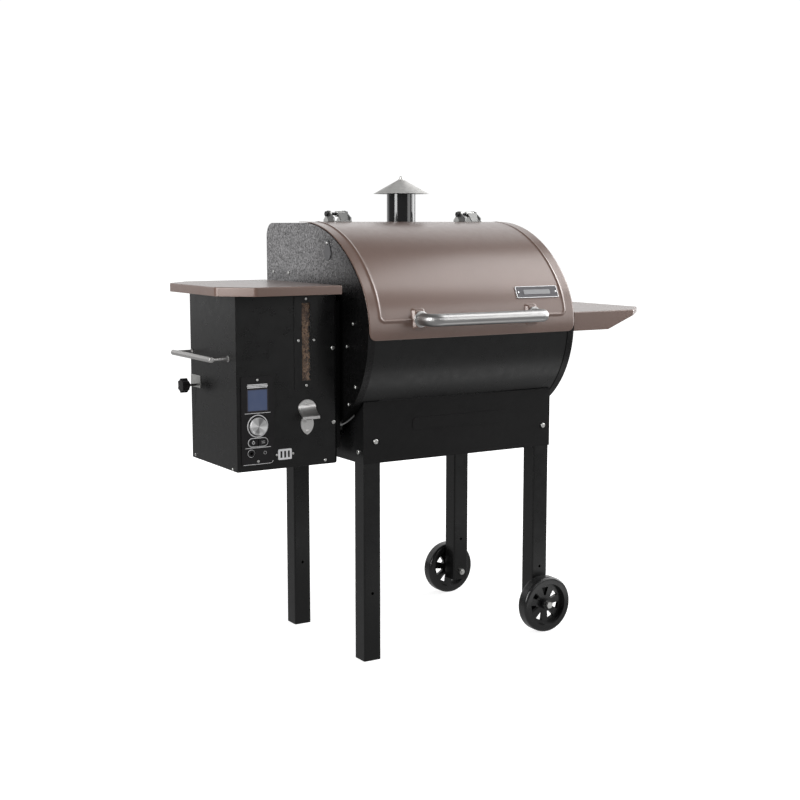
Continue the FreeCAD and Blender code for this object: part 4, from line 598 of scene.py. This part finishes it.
def lid_relief(x, s, height_of):
    """Raised height of the lid's bead and handle pads at (x, s)."""
    left = BARREL_LEFT + BEAD_INSET
    right = BARREL_RIGHT - BEAD_INSET
    bottom = height_of(BEAD_Z)
    turn = BEAD_TURN
    centre_x = (left + right) / 2
    half = (right - left) / 2
    dx = abs(x - centre_x) - (half - turn)
    dy = (bottom + turn) - s
    if dx > 0 and dy > 0:
        away = abs(math.hypot(dx, dy) - turn)
    elif dx > 0 or dy < 0:
        away = abs(dx - turn)
    else:
        away = abs(dy - turn)
    bead = BEAD_HEIGHT * math.exp(-(away / BEAD_SPREAD) ** 2)
    fade = lid_length() - 0.05
    if s > fade:
        bead *= max(0.0, 1.0 - (s - fade) / 0.02)
    pad = 0.0
    for side in (-1, 1):
        px = abs(x - (BARREL_MID + side * HANDLE_SPREAD)) - PAD_HALF_WIDTH
        pz = abs(s - height_of(HANDLE_Z)) - PAD_HALF_DEPTH
        reach = math.hypot(max(px, 0.0), max(pz, 0.0))
        pad = max(pad, PAD_HEIGHT * smooth_step(1.0 - reach / PAD_SLOPE))
    return max(bead, pad)


def smooth_step(t):
    t = min(1.0, max(0.0, t))
    return t * t * (3 - 2 * t)


def spaced(stops):
    """Sample positions from (end, step) pairs, starting at the first end."""
    values = [stops[0][0]]
    for end, step in stops[1:]:
        count = max(1, round((end - values[-1]) / step))
        start = values[-1]
        values += [start + (end - start) * (i + 1) / count for i in range(count)]
    return values


def build_lid():
    """Lid's outer skin as a grid, finer where the bead and the pads rise from it."""
    x0 = BARREL_LEFT + 0.002
    x1 = BARREL_RIGHT - 0.002
    length = lid_length()
    table = [(barrel_point(length * i / 2000)[0][1], length * i / 2000) for i in range(1200)]

    def height_of(z):
        return min(table, key=lambda row: abs(row[0] - z))[1]

    mid_l = BARREL_MID - HANDLE_SPREAD
    mid_r = BARREL_MID + HANDLE_SPREAD
    xs = spaced([(x0, 0), (x0 + 0.024, 0.0035), (x0 + 0.062, 0.0011), (mid_l - 0.036, 0.005),
                 (mid_l + 0.036, 0.0018), (mid_r - 0.036, 0.009), (mid_r + 0.036, 0.0018),
                 (x1 - 0.062, 0.005), (x1 - 0.024, 0.0011), (x1, 0.0035)])
    ss = spaced([(0.0, 0), (0.012, 0.003), (0.090, 0.0012), (length - 0.06, 0.006), (length, 0.003)])
    verts = []
    for x in xs:
        near = min(x - x0, x1 - x)
        lift = 0.0
        if near < CORNER_RADIUS:
            lift = CORNER_RADIUS - math.sqrt(CORNER_RADIUS ** 2 - (CORNER_RADIUS - near) ** 2)
        for s in ss:
            real = s
            if lift and s <= CORNER_BLEND:
                real = lift + s * (CORNER_BLEND - lift) / CORNER_BLEND
            (y, z), (ny, nz) = barrel_point(real)
            rise = lid_relief(x, real, height_of)
            verts.append((x, y + ny * rise, z + nz * rise))
    rows = len(ss)
    faces = []
    for i in range(len(xs) - 1):
        for j in range(rows - 1):
            a = i * rows + j
            faces.append((a, a + rows, a + rows + 1, a + 1))
    mesh = mesh_from("lid_skin", verts, faces)
    piece = add_piece("lid_skin", mesh, "lid", "bronze_paint", replaces=("barrel_lid",),
                      smooth_angle=60.0)
    modifier(piece, "SOLIDIFY", thickness=SHEET, offset=-1.0)


build_lid()


# ------------------------------------------------------------------ folded sheets in bronze
def chamfered(left, right, front, back, chamfer, on_left):
    """Outline of a rectangle with both of its left or both of its right corners cut off."""
    if on_left:
        return [(right, front), (left + chamfer, front), (left, front + chamfer),
                (left, back - chamfer), (left + chamfer, back), (right, back)][::-1]
    return [(left, front), (right - chamfer, front), (right, front + chamfer),
            (right, back - chamfer), (right - chamfer, back), (left, back)]


def eased_outline(points, radius, steps=8):
    """Outline (x, y) with every corner that turns less than 60 degrees replaced by an arc."""
    made = []
    for i, corner in enumerate(points):
        corner = Vector(corner)
        back = (Vector(points[i - 1]) - corner).normalized()
        ahead = (Vector(points[(i + 1) % len(points)]) - corner).normalized()
        turn = math.pi - back.angle(ahead)
        if turn > math.radians(60):
            made.append(tuple(corner))
            continue
        centre = corner + (back + ahead).normalized() * (radius / math.cos(turn / 2))
        spoke = corner + back * (radius * math.tan(turn / 2)) - centre
        sign = 1 if back.x * ahead.y - back.y * ahead.x < 0 else -1
        for k in range(steps + 1):
            made.append(tuple(centre + Matrix.Rotation(sign * turn * k / steps, 2) @ spoke))
    return made


def build_hopper_lid():
    """Hopper lid with two chamfered corners, and the two hinge eyes rolled from its edge."""
    left = STAND_LEFT - 0.385
    right = STAND_LEFT - 0.075
    top = HOPPER_LID_TOP
    bottom = top - HOPPER_LID_SKIRT
    outline = chamfered(left, right, STAND_FRONT - 0.027, STAND_FRONT + 0.407, HOPPER_LID_CHAMFER, True)
    if polygon_area(outline) < 0:
        outline = outline[::-1]
    outline = eased_outline(outline, HOPPER_LID_CORNER)
    skins = [[(x, y, top) for x, y in outline]]
    for (ax, ay), (bx, by) in zip(outline, outline[1:] + outline[:1]):
        skins.append([(ax, ay, bottom), (bx, by, bottom), (bx, by, top), (ax, ay, top)])
    folded_sheet("hopper_lid_skin", skins, "hopper_cover", "bronze_paint", replaces=("hopper_lid",))

    hinge_x = right + 0.0045
    hinge_z = 0.9685
    shapes = Shapes()
    for y0 in (FIRE_Y - 0.0786, FIRE_Y + 0.0214):
        shapes.rolled_knuckle(hinge_x, hinge_z, y0, y0 + 0.0392, 0.0040, 0.00257, right - 0.0008)
    add_piece("hopper_lid_knuckles", shapes.mesh("hopper_lid_knuckles"), "hopper_cover", "bronze_paint")


def polygon_area(points):
    """Area of an outline, positive when it runs counter-clockwise."""
    return sum(a[0] * b[1] - b[0] * a[1] for a, b in zip(points, points[1:] + points[:1])) / 2


def build_shelf():
    """Side shelf with two chamfered corners and a skirt that is deeper next to the barrel."""
    left = BARREL_RIGHT
    right = left + 0.314
    front = STAND_FRONT - 0.071
    back = front + 0.489
    top = SHELF_TOP
    low = top - SHELF_SKIRT
    lip = top - SHELF_LIP
    c = SHELF_CHAMFER
    knee = left + 0.123
    skins = [[(x, y, top) for x, y in chamfered(left, right, front, back, c, False)]]
    skins.append([(left, front, low), (knee, front, low), (right - c, front, lip), (right - c, front, top),
                  (left, front, top)])
    skins.append([(left, back, top), (right - c, back, top), (right - c, back, lip), (knee, back, low),
                  (left, back, low)])
    skins.append([(right - c, front, lip), (right, front + c, lip), (right, front + c, top),
                  (right - c, front, top)])
    skins.append([(right, front + c, lip), (right, back - c, lip), (right, back - c, top),
                  (right, front + c, top)])
    skins.append([(right, back - c, lip), (right - c, back, lip), (right - c, back, top),
                  (right, back - c, top)])
    skins.append([(left, back, low), (left, front, low), (left, front, top), (left, back, top)])
    folded_sheet("shelf_skin", skins, "grill", "bronze_paint", replaces=("side_shelf",))


build_hopper_lid()
build_shelf()


# ------------------------------------------------------------------ pellets in the sight window
def build_pellets():
    """Loose rows of short pellets at random tilts, kept inside the CAD's block."""
    lo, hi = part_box("wood_pellets")
    verts, faces = [], []
    radius = 0.0031
    pitch = 0.0052
    ring = 8
    rows = int((hi.z - lo.z) / pitch)
    for row in range(rows):
        for column in range(4):
            for depth in range(2):
                length = rng.uniform(0.009, 0.017)
                x = lo.x + 0.0040 + column * 0.0066 + rng.uniform(-0.0016, 0.0016)
                y = lo.y + 0.0036 + depth * pitch + rng.uniform(-0.0004, 0.0008)
                z = lo.z + 0.004 + row * pitch + rng.uniform(-0.0015, 0.0015)
                tilt = rng.uniform(-1.3, 1.3)
                direction = Vector((math.cos(tilt), rng.uniform(-0.15, 0.15), math.sin(tilt)))
                direction = direction.normalized()
                side = direction.cross(Vector((0, 1, 0))).normalized()
                other = direction.cross(side)
                centre = Vector((x, y, z))
                rings = []
                for t, r in ((-0.5, 0.7), (-0.46, 1.0), (0.46, 1.0), (0.5, 0.7)):
                    start = len(verts)
                    for k in range(ring):
                        angle = 2 * math.pi * k / ring
                        point = centre + direction * (t * length)
                        point = point + (side * math.cos(angle) + other * math.sin(angle)) * radius * r
                        point.x = min(max(point.x, lo.x), hi.x)
                        point.y = min(max(point.y, lo.y), hi.y)
                        point.z = min(max(point.z, lo.z), hi.z)
                        verts.append(point)
                    rings.append(start)
                for a, b in zip(rings, rings[1:]):
                    for k in range(ring):
                        n = (k + 1) % ring
                        faces.append((a + k, a + n, b + n, b + k))
                faces.append(tuple(range(rings[0] + ring - 1, rings[0] - 1, -1)))
                faces.append(tuple(range(rings[-1], rings[-1] + ring)))
    mesh = mesh_from("pellet_stack", verts, faces)
    add_piece("pellet_stack", mesh, "grill", "pellet_wood", replaces=("wood_pellets",), smooth_angle=40.0)


build_pellets()

# ------------------------------------------------------------------ controller face
PANEL_FACE = HOPPER_FRONT - 0.003


def on_panel(u, v, height):
    """Point on the controller's face: u from its middle, v above the floor."""
    return Vector((CONTROL_X + u, PANEL_FACE - height, v))


def build_controller_print():
    """Light printed lines: bars over the display, rings and outlines round the controls."""
    shapes = Shapes()
    for v, half in ((0.7425, 0.0270), (0.7390, 0.0285), (0.7355, 0.0270)):
        shapes.ribbon(on_panel, [(-half, v), (half, v + 0.0001)], 0.00115, -0.0002, 0.00025, closed=False)
    for v in (0.6715, 0.5850):
        shapes.ribbon(on_panel, [(-0.0350, v), (0.0350, v)], 0.0007, -0.0002, 0.00025, closed=False)
    shapes.ribbon(on_panel, circle(0.0272, -0.0005, KNOB_Z + 0.0012), 0.0012, -0.0002, 0.00035)
    pill = rounded_box(0.0268, 0.0107, 0.0106, 0.0, BUTTON_Z, 10)
    shapes.ribbon(on_panel, pill, 0.0009, -0.0002, 0.00025)
    shapes.ribbon(on_panel, circle(0.0093, -0.019, 0.5715, 36), 0.0005, -0.0002, 0.0003)
    shapes.ribbon(on_panel, circle(0.0036, 0.019, 0.5710, 24), 0.0003, -0.0002, 0.0003)
    hook = [(-0.0400, 0.5435), (0.0340, 0.5435), (0.0375, 0.5445), (0.0396, 0.5466), (0.0410, 0.5500)]
    shapes.ribbon(on_panel, hook, 0.0005, -0.0002, 0.0003, closed=False)
    add_piece("controller_print", shapes.mesh("controller_print"), "grill", "plate_metal", "print_silver")

    bezel = Shapes()
    rim = rounded_box(0.0279, 0.0274, 0.0016, 0.0, DISPLAY_Z)
    bezel.ribbon(on_panel, rim, 0.0012, -0.0004, 0.0006)
    add_piece("display_bezel", bezel.mesh("display_bezel"), "grill", "black_plastic", "bezel_plastic")


def build_button_marks():
    """A small raised sign on each button, on the button's own body."""
    face = 0.0020
    low = face - 0.0002
    half = 0.00045
    for side, body in ((-1, "left_button"), (1, "right_button")):
        u = side * 0.0135
        shapes = Shapes()
        if side < 0:
            stroke = [(u, BUTTON_Z + 0.0012), (u, BUTTON_Z + 0.0052)]
            shapes.ribbon(on_panel, circle(0.0034, u, BUTTON_Z, 28), half, low, face + 0.0002)
            shapes.ribbon(on_panel, stroke, half, low, face + 0.0003, closed=False)
        else:
            for v in (BUTTON_Z - 0.0022, BUTTON_Z + 0.0022):
                dash = [(u - 0.0045, v), (u + 0.0045, v)]
                shapes.ribbon(on_panel, dash, half, low, face + 0.0002, closed=False)
        add_piece(body + "_sign", shapes.mesh(body + "_sign"), body, "plate_metal", "print_silver")


def build_knob():
    """Low turned dial: eased edge, bevelled rim and a slightly dished face."""
    centre = on_panel(0.0, KNOB_Z, 0.0)
    shapes = Shapes()
    rim = [(0.0222, 0.0007), (0.0228, 0.0012), (0.0230, 0.0020), (0.0230, 0.0058), (0.0226, 0.0068),
           (0.0217, 0.0075), (0.0211, 0.0076), (0.0205, 0.0073), (0.0120, 0.0071), (0.0030, 0.0070)]
    shapes.lathe(centre, (0, -1, 0), rim, 144)
    shapes.lathe(centre, (0, 1, 0), [(0.0030, -0.0050), (0.0030, 0.0088)], 24)
    add_piece("knob_turned", shapes.mesh("knob_turned"), "knob", "knob_aluminium", "turned_aluminium",
              replaces=("control_knob",), smooth_angle=28.0)


build_controller_print()
build_button_marks()
build_knob()


# ------------------------------------------------------------------ nameplate and badge
def build_nameplate():
    """Flat plate on the lid: bright border, grey field, one raised blank bar and two rivets."""
    middle_x = STAND_LEFT + 0.506
    middle_z = 0.9545
    rise = (middle_z - BROW_Z) / BROW_RADIUS
    outward = Vector((0.0, -math.sqrt(1 - rise * rise), rise))
    upward = Vector((0.0, rise, math.sqrt(1 - rise * rise)))
    centre = Vector((middle_x, BROW_Y, BROW_Z)) + outward * BROW_RADIUS

    def on_plate(u, v, height):
        return centre + Vector((u, 0.0, 0.0)) + upward * v + outward * height

    field = Shapes()
    field.plate(on_plate, rounded_box(0.0690, 0.0165, 0.0015), -0.0008, 0.0018)
    add_piece("nameplate_field", field.mesh("nameplate_field"), "lid", "plate_metal", "plate_field",
              replaces=("nameplate",))
    bar = Shapes()
    bar.plate(on_plate, rounded_box(0.0440, 0.0066, 0.0030), 0.0010, 0.0026, 0.0003)
    add_piece("nameplate_bar", bar.mesh("nameplate_bar"), "lid", "plate_metal", "plate_bar")
    border = Shapes()
    border.ribbon(on_plate, rounded_box(0.0683, 0.0158, 0.0016), 0.0009, -0.0006, 0.0026)
    for side in (-1, 1):
        foot = on_plate(side * 0.062, 0.0, 0.0014)
        border.lathe(foot, outward, [(0.0034, 0.0), (0.0034, 0.0008), (0.0030, 0.0014), (0.0020, 0.0019),
                                     (0.0007, 0.0021)], 28)
    piece = add_piece("nameplate_relief", border.mesh("nameplate_relief"), "lid",
                      "plate_metal", "plate_silver")
    modifier(piece, "BEVEL", width=0.0003, segments=2, limit_method="ANGLE", angle_limit=math.radians(40))


def build_badge():
    """Small light plate with three dark inlaid bars."""
    def on_hopper(u, v, height):
        return Vector((BADGE_X + u, HOPPER_FRONT - height, v))

    plate = Shapes()
    plate.plate(on_hopper, rounded_box(0.0190, 0.0135, 0.0030, 0.0, BADGE_Z), 0.0, 0.0011, 0.0003)
    add_piece("badge_face", plate.mesh("badge_face"), "grill", "plate_metal", "print_silver",
              replaces=("badge_plate",))
    bars = Shapes()
    for u, half in ((-0.0105, 0.0026), (0.0, 0.0026), (0.0105, 0.0026)):
        bars.plate(on_hopper, rounded_box(half, 0.0085, 0.0008, u, BADGE_Z, 3), 0.0008, 0.00122, 0.0001)
    add_piece("badge_bars", bars.mesh("badge_bars"), "grill", "plate_metal", "black_plastic")


build_nameplate()
build_badge()


# ------------------------------------------------------------------ eased edges on the CAD nodes
def ease_edges(width, names):
    """Welds the seams of a CAD node, rounds its sharp edges a little and evens its shading."""
    for name in names:
        node = nodes[name]
        modifier(node, "WELD", merge_threshold=0.000005)
        modifier(node, "BEVEL", width=width, segments=2, limit_method="ANGLE", angle_limit=math.radians(38))
        modifier(node, "WEIGHTED_NORMAL", keep_sharp=False, weight=60)


ease_edges(0.0006, ("hopper_shell", "hopper_side_panel", "front_apron", "rear_skirt", "side_skirt_left",
                    "side_skirt_right", "window_frame", "controller_panel", "button_left", "button_right",
                    "hinge_lid_leaves", "hinge_barrel_leaves", "bottle_opener", "purge_gate", "purge_knob",
                    "hopper_top_strip", "power_inlet"))


# ------------------------------------------------------------------ stage, camera and light
# Place, angles and lens were solved from straight edges that the photograph shows.
CAMERA_PLACE = Vector((-1.99603, -3.12784, 1.13536))
AZIMUTH = math.radians(-31.74)
PITCH = math.radians(7.4)
camera_data = bpy.data.cameras.new("camera")
camera_data.lens = 60.94
camera_data.sensor_width = 36.0
camera_data.clip_end = 100.0
camera = bpy.data.objects.new("camera", camera_data)
camera.location = CAMERA_PLACE
camera.rotation_euler = (math.pi / 2 - PITCH, 0.0, AZIMUTH)
scene.collection.objects.link(camera)
scene.camera = camera

floor_mesh = bpy.data.meshes.new("floor")
bm = bmesh.new()
bmesh.ops.create_circle(bm, cap_ends=True, radius=30.0, segments=96)
bm.to_mesh(floor_mesh)
bm.free()
floor = bpy.data.objects.new("floor", floor_mesh)
scene.collection.objects.link(floor)
floor_look = Shader("floor_white", (0.45, 0.45, 0.45), 0.9)
floor_look.set("Specular IOR Level", 0.05)
floor_tone = floor_look.mixed(floor_look.ranged(floor_look.noise(2.0, 3.0), 0.3, 0.7, 0.0, 1.0),
                              (0.44, 0.44, 0.44), (0.46, 0.46, 0.46))
floor_look.finish_colour(floor_tone)
floor_look.set("Emission Color", (1.0, 1.0, 1.0, 1.0))
away = floor_look.tree.nodes.new("ShaderNodeVectorMath")
away.operation = "LENGTH"
floor_look.link(floor_look.coords.outputs["Object"], away.inputs[0])
floor_look.link(floor_look.ranged(away.outputs["Value"], 0.9, 2.4, 0.80, 1.10),
                floor_look.bsdf.inputs["Emission Strength"])
floor_mesh.materials.append(floor_look.mat)
# The floor is there for the camera alone: it is not mirrored and throws no light back.
floor.visible_glossy = False
floor.visible_diffuse = False

world = bpy.data.worlds.new("studio")
scene.world = world
world.use_nodes = True
tree = world.node_tree
tree.nodes.clear()
out = tree.nodes.new("ShaderNodeOutputWorld")
bg_seen = tree.nodes.new("ShaderNodeBackground")
bg_seen.inputs["Color"].default_value = (1, 1, 1, 1)
bg_seen.inputs["Strength"].default_value = 1.05
bg_lit = tree.nodes.new("ShaderNodeBackground")
mix = tree.nodes.new("ShaderNodeMixShader")
path = tree.nodes.new("ShaderNodeLightPath")
tree.links.new(path.outputs["Is Camera Ray"], mix.inputs["Fac"])
tree.links.new(bg_lit.outputs["Background"], mix.inputs[1])
tree.links.new(bg_seen.outputs["Background"], mix.inputs[2])
tree.links.new(mix.outputs["Shader"], out.inputs["Surface"])
bg_lit.inputs["Color"].default_value = (1, 1, 1, 1)
# Directions that point down light the object more, as a white floor would.
sky = tree.nodes.new("ShaderNodeTexCoord")
parts = tree.nodes.new("ShaderNodeSeparateXYZ")
slope = tree.nodes.new("ShaderNodeMapRange")
for key, number in (("From Min", -0.30), ("From Max", 0.02), ("To Min", 0.40), ("To Max", 0.17)):
    slope.inputs[key].default_value = number
tree.links.new(sky.outputs["Generated"], parts.inputs["Vector"])
tree.links.new(parts.outputs["Z"], slope.inputs["Value"])
tree.links.new(slope.outputs["Result"], bg_lit.inputs["Strength"])


def softbox(name, place, aim, width, height, radiance):
    """Rectangular white lamp of a given brightness, facing its aim point."""
    data = bpy.data.lights.new(name, "AREA")
    data.shape = "RECTANGLE"
    data.size = width
    data.size_y = height
    data.energy = radiance * math.pi * width * height
    lamp = bpy.data.objects.new(name, data)
    lamp.location = place
    lamp.rotation_euler = (Vector(aim) - Vector(place)).to_track_quat("-Z", "Y").to_euler()
    scene.collection.objects.link(lamp)


softbox("lid_key", (2.3, -0.9, 3.2), (0.1, -0.1, 1.0), 2.1, 2.2, 3.2)
softbox("crown_key", (2.0, 2.3, 3.2), (0.1, 0.1, 1.0), 2.2, 1.8, 0.9)
softbox("left_side", (-3.1, -0.7, 1.9), (0.0, 0.0, 1.0), 1.3, 2.2, 9.0)
softbox("back_left", (-2.4, 4.6, 1.9), (-2.4, 0.0, 1.9), 1.8, 2.6, 0.60)
softbox("floor_glow", (0.72, -0.60, 0.02), (0.72, -0.60, 1.0), 1.3, 0.36, 0.80)
softbox("right_side", (3.1, -0.2, 1.7), (0.0, 0.0, 1.0), 2.4, 2.2, 5.0)
softbox("right_front", (2.2, -2.9, 1.75), (0.0, 0.0, 1.0), 1.9, 1.7, 2.4)
softbox("back_wall", (2.6, 4.6, 1.75), (2.6, 0.0, 1.75), 8.0, 3.5, 0.68)
softbox("front_faint", (0.5, -4.6, 2.8), (0.0, 0.0, 0.9), 1.2, 1.2, 3.0)

scene.view_settings.view_transform = "Standard"
